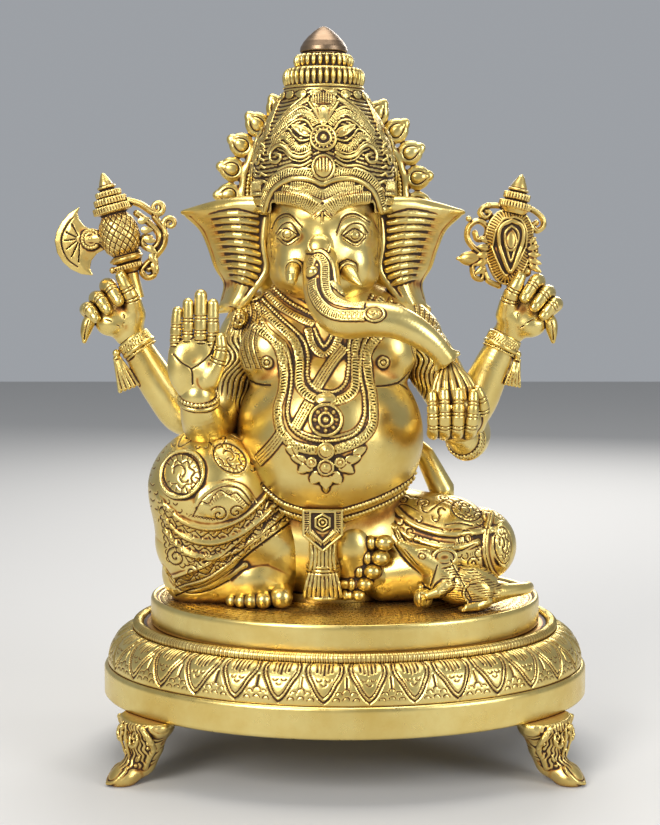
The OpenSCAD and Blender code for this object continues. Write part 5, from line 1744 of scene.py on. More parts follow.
def make_halo():
    centre = vec(-13.5, 30, 257)
    clay = Clay((-93, 22, 240), (66, 38, 333), 0.5)

    def arc_at(r, low, high, step, y=0.0):
        return np.array([centre + (r * math.cos(a), y, r * math.sin(a))
                         for a in np.radians(np.arange(low, high, step))])

    clay.add(tube(arc_at(52.5, -12, 189, 3), 3.0))
    clay.add(tube(arc_at(47, -8, 189, 3), 2.4), 1)
    for y in (-3.2, 3.2):
        clay.add([ball(q, 1.3) for q in arc_at(49.6, -10, 188, 2.9, y)], 0.25)
    lines, hearts = [], []
    for k in range(13):
        a = math.radians(181 - 15.6 * k)
        way = vec(math.cos(a), 0, math.sin(a))
        side = vec(-way[2], 0, way[0])
        axes = np.column_stack([way, side, vec(0, -1, 0)])
        p = centre + way * 62.5
        clay.add([ellipsoid(p - way * 0.8, (8.6, 7.9, 3.6), axes),
                  ellipsoid(p + way * 3.0, (7.2, 4.6, 3.0), axes)], 2.5)
        for y in (-3.1, 3.1):
            flat = teardrop(12.4, 9.6) + (0, -5.4)
            lines += tube(p + vec(0, y, 0) + flat[:, 1:] * way + flat[:, :1] * side, 0.75)
            hearts.append(ellipsoid(p - way * 0.6 + vec(0, y * 0.95, 0), (4.2, 2.8, 1.2), axes))
    clay.cut(lines, 0.3)
    clay.add(hearts, 0.6)
    clay_piece("halo", clay)


# ---------------------------------------------------------------- arms and hands

def unit(v):
    v = np.array(v, float)
    return v / np.linalg.norm(v)


def turned(along):
    """Two axes across a direction, and the direction."""
    w = unit(along)
    u = perpendicular(w)
    return np.column_stack([u, np.cross(w, u), w])


def clay_round(balls, margin, voxel):
    b = np.array(balls, float)
    return Clay((b[:, :3] - b[:, 3:]).min(0) - margin, (b[:, :3] + b[:, 3:]).max(0) + margin, voxel)


def cuff(p, along, rings):
    """Rings about an axis, each (shift along it, radius, half width, kind)."""
    turn, out = turned(along), []
    for shift, radius, half, kind in rings:
        q = np.array(p, float) + turn[:, 2] * shift
        if kind == "plain":
            out += hoop(q, turn, radius, half, lift=0)
        elif kind == "beads":
            out += drops(q, turn, radius, int(3.3 * radius / half), half, 0)
        else:
            n = int(2 * math.pi * radius / 1.95)
            for k in range(n):
                c, s = math.cos(2 * math.pi * k / n), math.sin(2 * math.pi * k / n)
                at = q + radius * (c * turn[:, 0] + s * turn[:, 1])
                lean = turn[:, 2] * half
                if kind == "rope":
                    lean = lean + 0.8 * (c * turn[:, 1] - s * turn[:, 0])
                out.append(link((*(at - lean), 0.78), (*(at + lean), 0.78)))
    return out


def tassel(top, low, wide, n=5, knob=2.6):
    """Cords that hang from a knob and spread."""
    top, low = np.array(top, float), np.array(low, float)
    out = [ball(top + (0, 0, 2.5), knob)] + cuff(top + (0, 0, -0.6), low - top, [(0, 1.9, 0.7, "plain")])
    across = unit(np.cross(low - top, (0, 1, 0)))
    for k in range(n):
        s = (k - (n - 1) / 2) / ((n - 1) / 2)
        end = low + across * s * wide
        mid = (top + low) / 2 + across * s * wide * 0.62
        thick = wide / (n - 1) * 0.98
        out += limb([(*(top + across * s * 1.4), thick * 0.7),
                     (*(mid + (0, -1.4 * (1 - s * s), 0)), thick * 0.8),
                     (*(end - (0, 0.8 * (1 - s * s), 0)), thick)])
    return out


def finger(points, joints=(0.36, 0.68), nail=None):
    """A finger's shapes, and the cuts at its joints and round its nail."""
    path = curve(points, 1.0)
    skin, cuts = limb(path), []
    for share in joints:
        for shift in (-1, 1):
            i = int(np.clip(round(share * (len(path) - 1) + shift), 1, len(path) - 2))
            cuts += hoop(path[i, :3], turned(path[i + 1, :3] - path[i - 1, :3]), path[i, 3] + 0.1, 0.5,
                         lift=0, n=18)
    if nail is not None:
        tip, way = path[-1], unit(path[-1, :3] - path[-4, :3])
        out = unit(np.array(nail, float) - way * np.dot(nail, way))
        turn = np.column_stack([np.cross(way, out), way, out])
        at = tip[:3] + out * tip[3] * 0.72 + way * 0.2
        skin.append(ellipsoid(at, (tip[3] * 0.66, tip[3] * 0.95, tip[3] * 0.36), turn))
        cuts += hoop(at + out * 0.2, turn, tip[3] * 0.72, 0.26, 1.35, 0.1, 16)
    return skin, cuts


def locks(side):
    """Wavy strands that cover an upper arm."""
    def carve(points, normals):
        x, y, z = points.T
        across = x + side * 0.22 * z + 3.4 * np.sin(z * 0.13 + y * 0.1) + 1.5 * np.sin(z * 0.31 + 1.3)
        strand = 1 - smoothstep(0.10, 0.26, np.abs(np.mod(across / 3.3, 1.0) - 0.5))
        fine = 1 - smoothstep(0.12, 0.3, np.abs(np.mod(across / 1.1 + 0.3, 1.0) - 0.5))
        where = smoothstep(112, 121, z) * smoothstep(-38, -29, y)
        return -where * (0.75 * strand + 0.28 * fine)
    return carve


def arm(name, balls, margin, ornaments, carve=None):
    """An arm of blended balls; ornaments are (shapes, blend) pairs laid on in turn."""
    clay = clay_round(balls, margin, 0.6)
    clay.add(limb(curve(balls, 2.5)))
    for shapes, blend in ornaments:
        clay.add(shapes, blend)
    clay_piece(name, clay, carve, 0.02)


def bracelet(p, along):
    """The ornaments of a wrist: a roped band between two rings, and beads under it."""
    return [(cuff(p, along, [(-3.4, 10.6, 1.5, "plain"), (0.2, 10.6, 1.7, "rope"),
                             (3.3, 10.2, 1.0, "plain")]), 0.5),
            (cuff(p, along, [(-6.0, 10.8, 0.8, "beads")]), 0.2)]


def make_arms():
    # The arm that holds the axe
    balls = [(-58, 12, 166, 16), (-69, 12, 147, 16.5), (-82, 11, 126, 15.6), (-95, 9.5, 114, 13.8),
             (-106, 8.5, 115, 13), (-116, 7, 128, 12.5),
             (-125, 6, 142, 11.6), (-132.5, 4.5, 156, 9.8), (-137, 3, 165, 8.8)]
    band = [(-3.2, 16.6, 1.0, "plain"), (0, 16.6, 2.0, "rope"), (3.2, 16.4, 1.0, "plain")]
    arm("axe_arm", balls, 10, bracelet((-134.3, 4, 160.7), (-0.574, 0.05, 0.819))
        + [(tassel((-146.2, 0, 152), (-138.4, 0, 132.5), 6.2), 0.35),
           (cuff((-75, 11.6, 137), (0.55, 0, -0.83), band), 0.3)])
    # The arm that holds the conch
    balls = [(45, 12, 166, 16), (57, 12, 147, 16.5), (67, 11, 129, 16), (78, 9, 117, 14.4),
             (85, 8.5, 123, 13.4), (91, 8, 136, 12.6),
             (96.5, 6.5, 149, 11.4), (100.5, 5, 158, 9.9), (103, 3, 166, 8.8)]
    band = [(-3.2, 17.2, 1.0, "plain"), (0, 17.2, 2.0, "rope"), (3.2, 17.0, 1.0, "plain")]
    arm("conch_arm", balls, 10, bracelet((101.6, 4, 161.7), (0.42, 0.05, 0.91))
        + [(tassel((110.5, 0, 151), (107.5, 0, 134), 4.6), 0.35),
           (cuff((62, 11.6, 138), (-0.55, 0, -0.83), band), 0.3)])
    # The arm raised in blessing
    balls = [(-60, -4, 164, 16.5), (-66, -9, 149, 17), (-73, -15, 132, 16.5), (-79, -26, 118, 15.6),
             (-83, -38, 112, 14.8),
             (-86, -50, 114, 13.8), (-87.5, -60, 122, 12.6), (-89, -67, 133, 10.8)]
    band = [(-1.6, 11.9, 1.2, "plain"), (1.3, 11.6, 1.3, "beads")]
    arm("blessing_arm", balls, 6, [(cuff((-88.6, -65.5, 131.5), (0.05, -0.42, 0.9), band), 0.4)], locks(-1))
    # The arm that offers the sweet
    balls = [(46, -4, 162, 16.5), (55, -9, 147, 16.5), (64, -13, 132, 15), (73, -20, 118, 13.6),
             (77.5, -30, 109, 12.8),
             (77.5, -42, 105, 11.8), (75, -54, 104, 10.9), (71, -64, 107, 9.8), (67, -72, 111, 8.8)]
    band = [(-3.8, 11.2, 1.3, "plain"), (-0.6, 11.2, 1.5, "rope"), (2.6, 10.8, 1.2, "beads")]
    arm("offering_arm", balls, 6, [(cuff((72.6, -60, 105.6), (-0.4, -0.87, 0.25), band), 0.4)], locks(1))


def hand(name, masses, fingers, low, high, cuts=(), creases=()):
    clay = Clay(low, high, 0.38)
    for mass in masses:
        clay.add(mass, 4.0)
    grooves = list(cuts)
    for points, joints, nail, soft in fingers:
        skin, lines = finger(points, joints, nail)
        clay.add(skin, soft)
        grooves += lines
    for line in creases:
        path = even(curve([(x, low[1], z) for x, z in line], 1), 0.9)
        grooves += tube(clay.land(path), 0.62)
    clay.cut(grooves, 0.25)
    clay_piece(name, clay, None, 0.04)


# A finger's joints, the way its nail faces and its blend, in a fist and under foliage
CURLED = ((0.4, 0.72), (0, -1, 0.25), 0.35)
COVERED = ((), None, 0.5)


def make_hands():
    # Fist round the axe's stem
    masses = [ellipsoid((-146, 3.5, 181), (14, 9.5, 14.5)), ellipsoid((-135.4, -1.5, 178), (8, 7.5, 10)),
              ellipsoid((-148.6, -2.5, 173.6), (10.5, 7.4, 8.2)), ellipsoid((-138, 2.5, 167), (10, 8.6, 9))]
    fingers = [([(-133.8, -2, 180, 6.4), (-135.0, -6, 189, 5.4), (-138.2, -8, 196.4, 4.6),
                 (-141.8, -8, 203.8, 3.5)], (0.4, 0.66), (1, -0.5, 0), 1.5),
               ([(-149, 7, 190, 5.2), (-151.8, 1, 197, 5.0), (-148.8, -7, 196.8, 4.6),
                 (-143.4, -10.5, 188.5, 3.9)], *CURLED),
               ([(-155, 6, 184, 5.0), (-158.8, 0, 189.2, 4.8), (-155.2, -8, 189.4, 4.5),
                 (-150.6, -10.5, 183.2, 3.8)], *CURLED),
               ([(-160, 5, 178, 4.8), (-164.6, -1, 182.2, 4.6), (-161.8, -8, 182.8, 4.3),
                 (-158.2, -10, 177.8, 3.6)], *CURLED),
               ([(-159, 1, 178, 4.0), (-162.6, -4, 175, 4.2), (-164.8, -5, 169, 3.5), (-166, -5, 162.4, 1.5)],
                *COVERED)]
    cuts = tube(curve([(-162.5, -8.2, 176), (-164.6, -8.6, 170), (-165.8, -6.6, 163.5)], 1), 0.4)
    cuts += tube(curve([(-156, -8.6, 178), (-150, -9.2, 176), (-143, -8.6, 172)], 1), 0.4)
    cuts += tube(curve([(-143, -8, 184), (-140, -7.8, 178), (-141, -7.4, 172)], 1), 0.4)
    hand("axe_hand", masses, fingers, (-172, -17, 156), (-124, 17, 210), cuts)
    # Fist round the conch's stem
    masses = [ellipsoid((115.5, 3.5, 181), (14, 9.5, 14.5)), ellipsoid((105.2, -1.5, 178), (8, 7.5, 10)),
              ellipsoid((117.4, -2.5, 173), (10.8, 7.4, 8.4)), ellipsoid((105.5, 2.5, 168), (10, 8.6, 9))]
    fingers = [([(102.8, -2, 179, 6.6), (104.4, -6, 189, 5.6), (107.6, -8, 196.6, 4.7),
                 (111.0, -8, 203.2, 3.5)], (0.4, 0.66), (-1, -0.5, 0), 1.5),
               ([(119, 7, 193, 5.0), (123.2, 1, 199.6, 4.8), (120.4, -7, 200, 4.4),
                 (113.6, -10.5, 190.4, 3.7)], *CURLED),
               ([(125, 6, 187, 4.9), (129.8, 0, 192.6, 4.7), (127.2, -8, 193.2, 4.2),
                 (120.2, -10.5, 184.8, 3.6)], *CURLED),
               ([(130, 5, 181, 4.8), (134.6, -1, 185.6, 4.5), (132.0, -8, 186, 4.1),
                 (126.2, -10, 179.2, 3.5)], *CURLED),
               ([(127, 1, 178, 4.0), (130.6, -4, 175, 4.2), (131.8, -5, 169, 3.5), (132.6, -5, 162.4, 1.5)],
                *COVERED)]
    cuts = tube(curve([(130.4, -8.2, 176), (131.8, -8.6, 170), (132.4, -6.6, 163.5)], 1), 0.4)
    cuts += tube(curve([(124, -8.6, 178), (118, -9.2, 176), (111, -8.6, 171)], 1), 0.4)
    cuts += tube(curve([(112, -8, 184), (109, -7.8, 178), (110, -7.4, 171)], 1), 0.4)
    hand("conch_hand", masses, fingers, (93, -17, 156), (140, 17, 210), cuts)
    # The open hand
    masses = [ellipsoid((-91, -70, 152), (15, 7.0, 17)), ellipsoid((-98.4, -71, 150), (7.4, 6.2, 14)),
              ellipsoid((-82.4, -72, 147), (7.6, 6.8, 10.5)),
              ellipsoid((-90.6, -69.6, 160.5), (14.2, 5.4, 8.0)),
              ellipsoid((-89.5, -67.5, 137), (11.4, 8.2, 9))]
    fingers = []
    for x0, x1, top, radius, joints in ((-101.6, -100.4, 187.2, 3.3, (0.40, 0.66)),
                                        (-94.4, -94.0, 192.2, 3.6, (0.42, 0.68)),
                                        (-87.0, -86.4, 197.4, 4.1, (0.40, 0.64)),
                                        (-79.4, -79.2, 191.8, 3.7, (0.40, 0.68))):
        fingers.append(([(x0, -70, 160, radius + 0.4), (x0, -70.6, 167, radius + 0.35),
                         ((x0 + x1) / 2, -71.4, 177, radius + 0.1),
                         (x1, -71.6, top - radius, radius - 0.35)], (0.2,) + joints, None, 0.45))
    fingers.append(([(-82, -73, 143, 6.6), (-77.4, -75, 151, 5.0), (-74.2, -76, 161, 3.8),
                     (-74.4, -76, 168.5, 2.9)], (0.48, 0.76), None, 1.2))
    creases = [[(-103, 158.6), (-97.6, 153.6), (-92, 149.4), (-91.4, 140.8)],
               [(-91.8, 149.8), (-86, 153.8), (-80, 159.6), (-77.8, 166)]]
    hand("blessing_hand", masses, fingers, (-112, -86, 124), (-64, -54, 204), (), creases)
    # The hand under the sweet
    masses = [ellipsoid((64, -80, 117.5), (14.5, 11, 9)), ellipsoid((67, -74, 113), (10.5, 9.5, 8)),
              ellipsoid((76, -78, 122), (5.5, 8, 8))]
    fingers = []
    for x, lean, top, radius in ((51.4, -1.2, 139.5, 3.4), (58, -0.6, 141, 3.8), (65.6, 0.2, 141, 3.9),
                                 (73.4, 1.2, 139.8, 3.6)):
        fingers.append(([(x + 2 - 0.03 * x, -82, 112, radius + 0.6), (x, -90.5, 115.5, radius + 0.3),
                         (x + lean * 0.6, -94, 126, radius),
                         (x + lean, -92.6, top - radius, radius - 0.7)], (0.38, 0.62, 0.82), None, 0.45))
    fingers.append(([(78, -74, 116, 5.4), (81, -79, 124, 4.6), (80, -84, 132, 3.7), (77.6, -86, 138, 2.8)],
                    (0.5, 0.78), None, 1.0))
    hand("offering_hand", masses, fingers, (42, -101, 100), (88, -62, 145))


# ---------------------------------------------------------------- what the hands hold

def plate(outline, half, edge=0.0):
    """A flat plate in the x-z plane about y = 0 whose faces run down to its edge."""
    o = np.array(outline, float)

    def distance(x, y, z):
        x, z = np.broadcast_arrays(x, z)
        best = np.full(x.shape, FAR, np.float32)
        inside = np.zeros(x.shape, bool)
        for a, b in zip(o, np.roll(o, -1, axis=0)):
            e = b - a
            t = np.clip(((x - a[0]) * e[0] + (z - a[1]) * e[1]) / (e @ e), 0.0, 1.0)
            best = np.minimum(best, (x - a[0] - t * e[0]) ** 2 + (z - a[1] - t * e[1]) ** 2)
            if abs(e[1]) > 1e-9:
                inside ^= ((a[1] <= z) != (b[1] <= z)) & (x < a[0] + (z - a[1]) * e[0] / e[1])
        flat = np.where(inside, -1.0, 1.0) * np.sqrt(best)
        thick = half * (1 - edge * (1 - np.clip(-flat / 7.0, 0, 1)))
        return np.maximum(flat, np.abs(y) - thick)

    low, high = o.min(0), o.max(0)
    return vec(low[0], -half, low[1]), vec(high[0], half, high[1]), distance


def two_faced(clay):
    """Give the back of a flat piece the same face as the front."""
    n = clay.count[1]
    clay.d[:, n - n // 2:] = clay.d[:, :n // 2][:, ::-1]


def ribbon(flat, radius, y=0.0):
    return tube(curve([(x, y, z) for x, z in flat], 1.2), radius)


def foliage(clay, flat, radius, ridge, vein, shift):
    """A stem of foliage with a ridge along its front and a finer vein beside that."""
    clay.add(ribbon(flat, radius), 0.5)
    clay.add(ribbon(flat, ridge, -radius * 1.02), 0.3)
    clay.add(ribbon(np.array(flat) + shift, vein, -radius * 0.8), 0.2)


def make_axe():
    axis = vec(-0.2588, 0, 0.9659)
    centre = vec(-143.3, 0, 229.9)
    right = vec(0.9659, 0, 0.2588)
    clay = Clay((-190, -16, 190), (-102, 16, 274), 0.42)
    clay.add(spun(centre, [(4.6, -42), (5.0, -25), (8.4, -22.4), (8.4, -19.4), (6.4, -18.4), (9.5, -17.4),
                           (9.5, -13.9), (7.4, -13.2), (11.0, -9.6),
                           (12.9, -3), (12.8, 2.6), (11.2, 8.6), (8.4, 12.6), (8.2, 14.2)], axis))
    clay.add(spun(centre, [(8, 13.6), (11.9, 15), (11.9, 19.0), (8.6, 19.5), (10.0, 20.3), (10.0, 23.8),
                           (6.6, 24.3), (7.8, 25.2), (7.8, 28.2),
                           (4.6, 28.8), (5.1, 30.4), (3.8, 34.4), (1.4, 39.4), (0.4, 40.4)], axis), 0.4)
    clay.add(cuff(centre, axis, [(17.0, 11.8, 1.5, "rib"), (22.0, 9.9, 1.4, "rib"), (26.7, 7.7, 1.1, "rib"),
                                 (-15.7, 9.6, 1.2, "plain"),
                                 (-20.9, 8.4, 1.0, "rib"), (31.0, 5.1, 0.9, "plain")]), 0.25)
    blade = [(-168.5, 247.5), (-175, 243.5), (-180, 238), (-183.2, 232), (-184.6, 226), (-183.2, 218.5),
             (-179.5, 212.5), (-174.5, 208), (-168, 205),
             (-160.5, 204), (-162.5, 208.5), (-161.5, 213.5), (-158, 218), (-153, 220.5), (-150, 221),
             (-150, 233), (-156, 232.6), (-161.5, 233.2),
             (-166, 235.6), (-169, 239.6), (-169.9, 243.6)]
    clay.add(plate(blade, 2.7, 0.62), 0.6)
    clay.add(limb([(-162, 0, 227, 4.2), (-150, 0, 228.5, 5.4)]), 1.5)
    ring = [vec(-161.2 + 5.6 * math.cos(a), -2.6, 227.2 + 5.6 * math.sin(a))
            for a in np.linspace(math.radians(48), math.radians(312), 15)]
    clay.add([ball(q, 1.25) for q in ring], 0.3)
    clay.add(tube([vec(-161.2 + 3.6 * math.cos(a), -2.9, 227.2 + 3.6 * math.sin(a))
                   for a in np.linspace(0.6, 5.6, 18)], 0.8), 0.3)
    clay.add(boss(vec(-161.2, -3.2, 227.2), FACE_ON, 1.6, 1.6), 0.3)
    # Foliage down the other side of the head
    for flat, radius in (([(-137.5, 251.5), (-129.8, 249.0), (-122.4, 244.2), (-119.0, 243.6)], 2.2),
                         ([(-132.5, 243.5), (-124.6, 237.4), (-118.6, 230.5), (-119.0, 224.2),
                           (-124.0, 221.0), (-128.6, 224), (-127.6, 228.4), (-124, 228)], 2.1),
                         ([(-121, 241), (-115.2, 233.0), (-115.0, 224.4), (-119.6, 217.4), (-126.3, 211.3),
                           (-129.3, 206.6), (-126.1, 202.9), (-121.8, 204.4), (-122.4, 208.6), (-125, 208)],
                          2.1),
                         ([(-134, 222), (-131, 216.4), (-134, 210.5), (-140, 208)], 1.8)):
        foliage(clay, flat, radius, 0.75, 0.55, (0.9, 1.1))
    clay.add(scroll(vec(-119.0, -0.6, 247.0), FACE_ON, 4.2, 1.4, math.radians(250), 1, 1.9), 0.4)
    clay.add(scroll(vec(-111.2, -0.6, 237.2), FACE_ON, 3.9, 1.3, math.radians(200), -1, 1.9), 0.4)
    clay.add([ball((-147.5, -3, 207.3), 2.2), ball((-114, -1, 229.4), 1.9), ball((-116.4, -1, 213.4), 1.8)],
             0.4)
    for k in range(6):
        clay.add(leaf(vec(-131 + 1.8 * k, -2.2, 238 - 5.2 * k), FACE_ON, 20 - 18 * k, 7, 4.0, 1.6, 0.5), 0.3)
    lines = tube(curve([(-168.5, -2.2, 243.2), (-174.6, -1.9, 238.6), (-178.8, -1.7, 231.8),
                        (-180.2, -1.6, 226), (-179.0, -1.7, 219.2), (-175.6, -1.9, 213.6),
                        (-170.2, -2.0, 209.6)], 1), 0.6)
    for x, z in ((-173.2, 236.4), (-176.8, 231.4), (-177.6, 226.2), (-176.6, 221.0), (-173.6, 216.2),
                 (-169.2, 212.8)):
        p, q = vec(-168.4, -2.6, 227.4), vec(x, -2.0, z)
        lines += limb([(*(p + (q - p) * 0.22), 0.45), (*q, 0.62)])
    clay.cut(lines, 0.25)
    two_faced(clay)

    def carve(points, normals):
        p = points - centre
        h = p @ axis
        a = np.arctan2(p @ right, -p[:, 1])
        r = np.hypot(p @ right, p[:, 1])
        drum = np.interp(h, [-13, -9.6, -3, 2.6, 8.6, 12.6], [7.4, 11, 12.9, 12.8, 11.2, 8.4])
        on = (np.abs(h) < 12.6) & (np.abs(r - drum) < 1.1)
        u = a * 16 / (2 * math.pi)
        w = h / 5.4
        cross = np.minimum(np.abs(np.mod(u + w, 1.0) - 0.5), np.abs(np.mod(u - w, 1.0) - 0.5))
        return -0.62 * on * (1 - smoothstep(0.05, 0.13, cross))

    clay_piece("axe_mace", clay, carve, 0.04, AGED)


def make_conch():
    clay = Clay((66, -17, 190), (134, 17, 274), 0.42)
    body = Clay((66, -17, 190), (134, 17, 274), 1.0)
    shell = [ellipsoid((104, 0, 231), (14.6, 8.6, 15.4)), ellipsoid((103.6, 0, 217), (12.6, 7.8, 19)),
             ellipsoid((107, 0, 206), (6, 6, 10))]
    for target in (clay, body):
        target.add(shell, 3)
    clay.add(limb([(108, 0, 210, 6), (109, 0, 196, 5.4), (108, 0, 190, 5)]), 2)
    axis = unit((0.22, 0, 0.975))
    clay.add(spun((107.6, 0, 247.4), [(7.6, -4), (9.6, -0.6), (9.6, 3.2), (7.0, 3.8), (7.9, 5.2), (7.9, 8.6),
                                      (5.4, 9.2), (6.1, 10.6), (4.5, 14.6),
                                      (1.9, 19.6), (0.5, 21)], axis), 0.4)
    clay.add(cuff((107.6, 0, 247.4), axis, [(1.2, 9.6, 1.5, "rib"), (6.9, 7.9, 1.4, "rib"),
                                            (11, 6.0, 0.8, "plain")]), 0.25)
    border = [(107, 243.5), (98.5, 241.5), (92.8, 233), (92.0, 220), (96.4, 207), (101.6, 201.5),
              (108, 204.6), (112.8, 213), (116.2, 223), (116.6, 233),
              (112.8, 240.6), (107, 243.5)]
    path = landed(body, border, 1.75)
    side, out = sides(body, path)
    fine = [link((*(p - s * 2.3), 0.72), (*(p + s * 2.3), 0.72)) for p, s in zip(path, side)]
    for sign in (-1, 1):
        fine += tube(path + side * sign * 3.2 + out * 0.2, 0.7)
    inner = [(105.1, 238.6), (98.6, 235), (97.2, 227.8), (99.6, 217), (104.8, 206.5), (109.4, 217),
             (112.6, 228), (111.4, 235.4), (105.1, 238.6)]
    heart = [(105.1, 235.4), (101.4, 232), (100.8, 227), (102.6, 219.5), (104.8, 213), (107, 219.5),
             (109.4, 227),
             (108.8, 232), (105.1, 235.4)]
    fine += wire(body, inner, 1.3, 0.4) + wire(body, heart, 0.7, 0.3)
    p, local = tangent(body, (104.6, 220))
    fine += leaf(p + local[:, 2] * 0.3, local, 90, 14.5, 7.6, 1.9, 0.8)
    clay.add(fine, 0.35)
    for flat, radius in (([(101, 247.8), (95, 248.4), (88.6, 247.4), (85.8, 243.6), (89, 240.6), (92, 242.8),
                           (90, 244.8)], 1.9),
                         ([(113, 247.4), (119.4, 245.4), (125.2, 240.4), (126, 235.4), (122, 232.4),
                           (119, 235.2), (121.6, 237.4)], 1.9),
                         ([(91.6, 216.4), (84.4, 219.6), (78.2, 226.6), (78.6, 234.6), (84.6, 238.6),
                           (90.2, 234.8), (89.4, 228.6), (84.4, 227), (82.6, 231)], 2.0),
                         ([(98.2, 197.4), (91.4, 200.8), (88.4, 207.4), (86.2, 212.2), (81.4, 209.8),
                           (82.4, 203.4), (87, 201.8), (88, 205.4)], 1.9),
                         ([(112.2, 208.6), (118.6, 212.4), (121.4, 218.8), (120, 225.6), (117.4, 229.2)],
                          1.8)):
        foliage(clay, flat, radius, 0.7, 0.5, (0.9, 0.9))
    clay.add([ellipsoid((80.6, 0, 214.8), (8.2, 3.4, 4.8)), ellipsoid((74, 0, 214.8), (3.4, 1.6, 1.6))], 1.0)
    clay.add([ball((115.4, -0.5, 206.4), 3.4), ball((90.8, -1, 248.6), 1.8), ball((78.6, -0.5, 240), 1.9),
              ball((125.8, -0.5, 228.6), 2.1)], 0.4)
    for k in range(5):
        clay.add(leaf(vec(113.6 + 1.0 * k, -2.4, 224 - 3.2 * k), FACE_ON, 28 - 16 * k, 8.5, 3.8, 1.6, 0.5),
                 0.3)
        clay.add(leaf(vec(92.5 - 0.8 * k, -2.0, 226 - 4.2 * k), FACE_ON, 165 + 12 * k, 7.5, 3.8, 1.5, 0.5),
                 0.3)
    lines = []
    for z in (212.2, 214.8, 217.4):
        lines += tube([vec(76, -3.4, z), vec(86, -3.6, z)], 0.4)
    clay.cut(lines, 0.2)
    two_faced(clay)
    clay_piece("conch", clay, None, 0.04, AGED)


def make_modak():
    at, axis = vec(64.6, -82, 130), unit((-0.17, 0, 1))
    clay = Clay(at - (18, 15, 1), at + (16, 15, 30), 0.36)
    bud = [(9.5, 0), (11.6, 3), (11.8, 9), (9.8, 14), (6.9, 18.6), (4.0, 22.6), (1.6, 26.2), (0.6, 27.6)]
    clay.add(spun(at, bud, axis))
    turn = turned(axis)
    for k in range(14):
        a = 2 * math.pi * (k + 0.5) / 14
        way = turn[:, 0] * math.cos(a) + turn[:, 1] * math.sin(a)
        clay.add(limb([(*(at + way * (r - 0.2) + axis * z), w)
                       for (r, z), w in zip(bud[1:], (1.9, 2.1, 1.9, 1.5, 1.1, 0.7, 0.5))]), 0.2)
    clay_piece("modak", clay, None, 0.06, AGED)


# ---------------------------------------------------------------- mouse

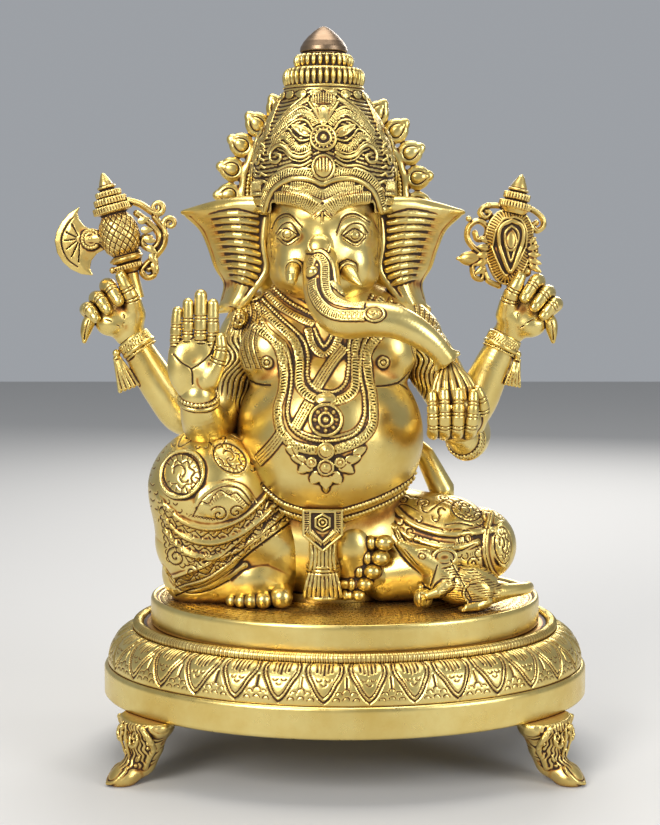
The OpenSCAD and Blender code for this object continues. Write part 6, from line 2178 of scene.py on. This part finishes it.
def make_mouse():
    clay = Clay((26, -74, -1), (122, -18, 50), 0.45)
    clay.add([ellipsoid((74, -51, 14.5), (20.5, 14, 13)), ellipsoid((60, -52, 18.5), (13, 12, 12.5))], 3)
    clay.add(limb(curve([(60, -52, 23, 11), (54, -54, 28, 9.6), (46, -57, 33, 7.2), (39.5, -59, 37.5, 4.8),
                         (34, -60, 41.2, 2.6)], 2)), 2)
    clay.add(ball((33, -60.4, 42), 2.0), 0.4)
    clay.add(limb(curve([(90, -50, 9, 7), (98, -47, 9.2, 5.2), (106, -42, 9.2, 4.4), (112.5, -36, 9.0, 4.0),
                         (115.5, -30, 8.6, 3.6)], 2)), 1.5)
    for y, z in ((-60.5, 33.4), (-44, 37.5)):
        turn = frame_of((1, 0, 0.05), (0.15, -1, 0.1) if y < -50 else (0.1, -0.9, 0.3))
        clay.add(ellipsoid((60.5, y, z), (5.6, 7.8, 2.2), turn), 0.8)
        clay.add(hoop(vec(60.5, y, z), np.column_stack([turn[:, 1], turn[:, 0], turn[:, 2]]), 7.0, 1.1, 0.72,
                      1.1), 0.4)
        clay.cut(ellipsoid(vec(60.5, y, z) + turn[:, 2] * 2.8, (3.3, 5.2, 1.2), turn), 0.4)
    body = clay
    extra, cuts = [], []
    p, turn = tangent(body, (46.6, 34.6))
    extra += boss(p, turn, 1.7, 0.9)
    cuts += hoop(p, turn, 2.4, 0.55, 0.85, 0.2)
    extra += wire(body, [(51, 37.5), (47.5, 38.8), (43.5, 38.2)], 0.55, 0.1)
    # Haunch, feet and the sweet between the paws
    extra += hoop(vec(80, -64.2, 12), frame_of((0, 0, 1), (0.15, -1, 0.2)), 8.2, 0.8, 0.9)
    clay.add([ellipsoid((80, -60, 12), (10.5, 6.5, 9.5))], 2)
    clay.add(limb([(86, -60, 6, 4.2), (80, -64.5, 4, 3.3), (74, -66, 3.2, 2.4)]), 1)
    for k in range(3):
        clay.add(limb([(75, -66 + 0.2 * k, 3, 1.6), (71.4 - 0.6 * k, -67.6 + 2.3 * k, 2.0, 1.3)]), 0.4)
    clay.add(ball((47.5, -60, 8), 6.2), 0.3)
    clay.add(limb([(62, -61, 17, 5), (56, -65, 12.5, 3.4), (50, -66, 10.6, 2.4)]), 0.8)
    clay.add(limb([(56, -46, 16, 4.6), (51, -52, 12.5, 3.2), (46.5, -55.5, 13.6, 2.2)]), 0.8)
    for k in range(3):
        clay.add(limb([(50.5, -66.2, 10.6, 1.5), (46.6, -66.6 + 0.5 * k, 12.4 - 2.2 * k, 1.15)]), 0.3)
    for a in np.radians([0, 36, 72, 108, 144]):
        turn = np.column_stack([vec(math.cos(a), math.sin(a), 0), vec(0, 0, 1),
                                vec(math.sin(a), -math.cos(a), 0)])
        cuts += hoop(vec(47.5, -60, 8), turn, 6.3, 0.42, lift=0)
    cuts += tube(body.land([(64 + 0.5 * k, -90, 32 - 0.95 * k) for k in range(26)], (0, 1, 0)), 0.55)
    cuts += tube(body.land([(56 - 0.25 * k, -90, 29 - 0.8 * k) for k in range(18)], (0, 1, 0)), 0.6)
    cuts += tube(body.land([(36 + 0.6 * k, -90, 38.6 - 0.75 * k) for k in range(14)], (0, 1, 0)), 0.45)
    for k in range(4):
        q = vec(99 + 4 * k, -45.4 + 3.4 * k, 8.7)
        cuts += hoop(q, turned((4, 3.6, 0)), 4.2 - 0.25 * k, 0.4, lift=0)
    clay.add(extra, 0.3)
    clay.cut(cuts, 0.25)
    clay.keep_above(0.0)

    def carve(points, normals):
        x, z = points[:, 0], points[:, 2]
        fur = 1 - smoothstep(0.10, 0.26, np.abs(np.mod(z / 1.55 + 0.25 * np.sin(x * 0.35), 1.0) - 0.5))
        broken = smoothstep(0.15, 0.45, np.sin(x * 0.55 + z * 0.9) * 0.5 + 0.5)
        where = smoothstep(56, 62, x) * (1 - smoothstep(94, 99, x))
        where = where * smoothstep(5, 8, z) * (1 - smoothstep(27, 30, z))
        return -0.36 * fur * broken * where

    clay_piece("mouse", clay, carve)


# ---------------------------------------------------------------- stage

def make_stage():
    bpy.context.scene.view_settings.view_transform = "Standard"
    floor_mesh = bpy.data.meshes.new("floor")
    floor_mesh.from_pydata([(-3, -3, 0), (3, -3, 0), (3, 3, 0), (-3, 3, 0)], [], [(0, 1, 2, 3)])
    floor = bpy.data.objects.new("floor", floor_mesh)
    bpy.context.scene.collection.objects.link(floor)
    pale = bpy.data.materials.new("pale_floor")
    pale.use_nodes = True
    pale.node_tree.nodes["Principled BSDF"].inputs["Base Color"].default_value = (0.50, 0.495, 0.485, 1)
    pale.node_tree.nodes["Principled BSDF"].inputs["Roughness"].default_value = 0.8
    floor_mesh.materials.append(pale)

    world = bpy.data.worlds.new("studio")
    bpy.context.scene.world = world
    world.use_nodes = True
    world.node_tree.nodes["Background"].inputs["Color"].default_value = (0.80, 0.84, 0.90, 1)
    world.node_tree.nodes["Background"].inputs["Strength"].default_value = 0.42

    def softbox(name, place, target, size, power, colour):
        data = bpy.data.lights.new(name, "AREA")
        data.shape = "RECTANGLE"
        data.size, data.size_y = size
        data.energy = power
        data.color = colour
        lamp = bpy.data.objects.new(name, data)
        lamp.location = place
        lamp.rotation_euler = (Vector(target) - Vector(place)).to_track_quat("-Z", "Y").to_euler()
        bpy.context.scene.collection.objects.link(lamp)

    aim = (0, 0, 0.24)
    softbox("key", (-0.85, -1.35, 1.05), aim, (0.7, 0.9), 26, (1.0, 0.97, 0.92))
    softbox("fill", (1.25, -0.95, 0.75), aim, (0.6, 0.9), 12, (0.95, 0.97, 1.0))
    softbox("top", (0.0, 0.15, 1.5), aim, (1.0, 0.8), 14, (1.0, 0.98, 0.95))
    softbox("back", (0.3, 1.4, 0.9), aim, (0.9, 0.7), 14, (1.0, 0.98, 0.95))

    camera_data = bpy.data.cameras.new("camera")
    camera_data.sensor_width = 36.0
    camera_data.lens = 72.6
    camera = bpy.data.objects.new("camera", camera_data)
    camera.location = (-0.0095, -1.052, 0.319)
    camera.rotation_euler = (Vector((-0.0095, 0, 0.2165))
                             - camera.location).to_track_quat("-Z", "Y").to_euler()
    bpy.context.scene.collection.objects.link(camera)
    bpy.context.scene.camera = camera

make_base()
make_feet()
make_torso()
make_sash()
make_raised_leg()
make_folded_leg()
make_head()
make_trunk()
make_tusk(-1, "left_tusk")
make_tusk(1, "right_tusk")
make_ear(-1, "left_ear")
make_ear(1, "right_ear")
make_crown()
make_finial()
make_halo()
make_arms()
make_hands()
make_axe()
make_conch()
make_modak()
make_mouse()
for name, material in (("foot_screws", ZINC), ("plinth_screws", ZINC), ("figure_bolts", ZINC),
                       ("seat_plate", AGED)):
    for held in bpy.data.objects[name].material_slots:
        held.material = material
make_stage()
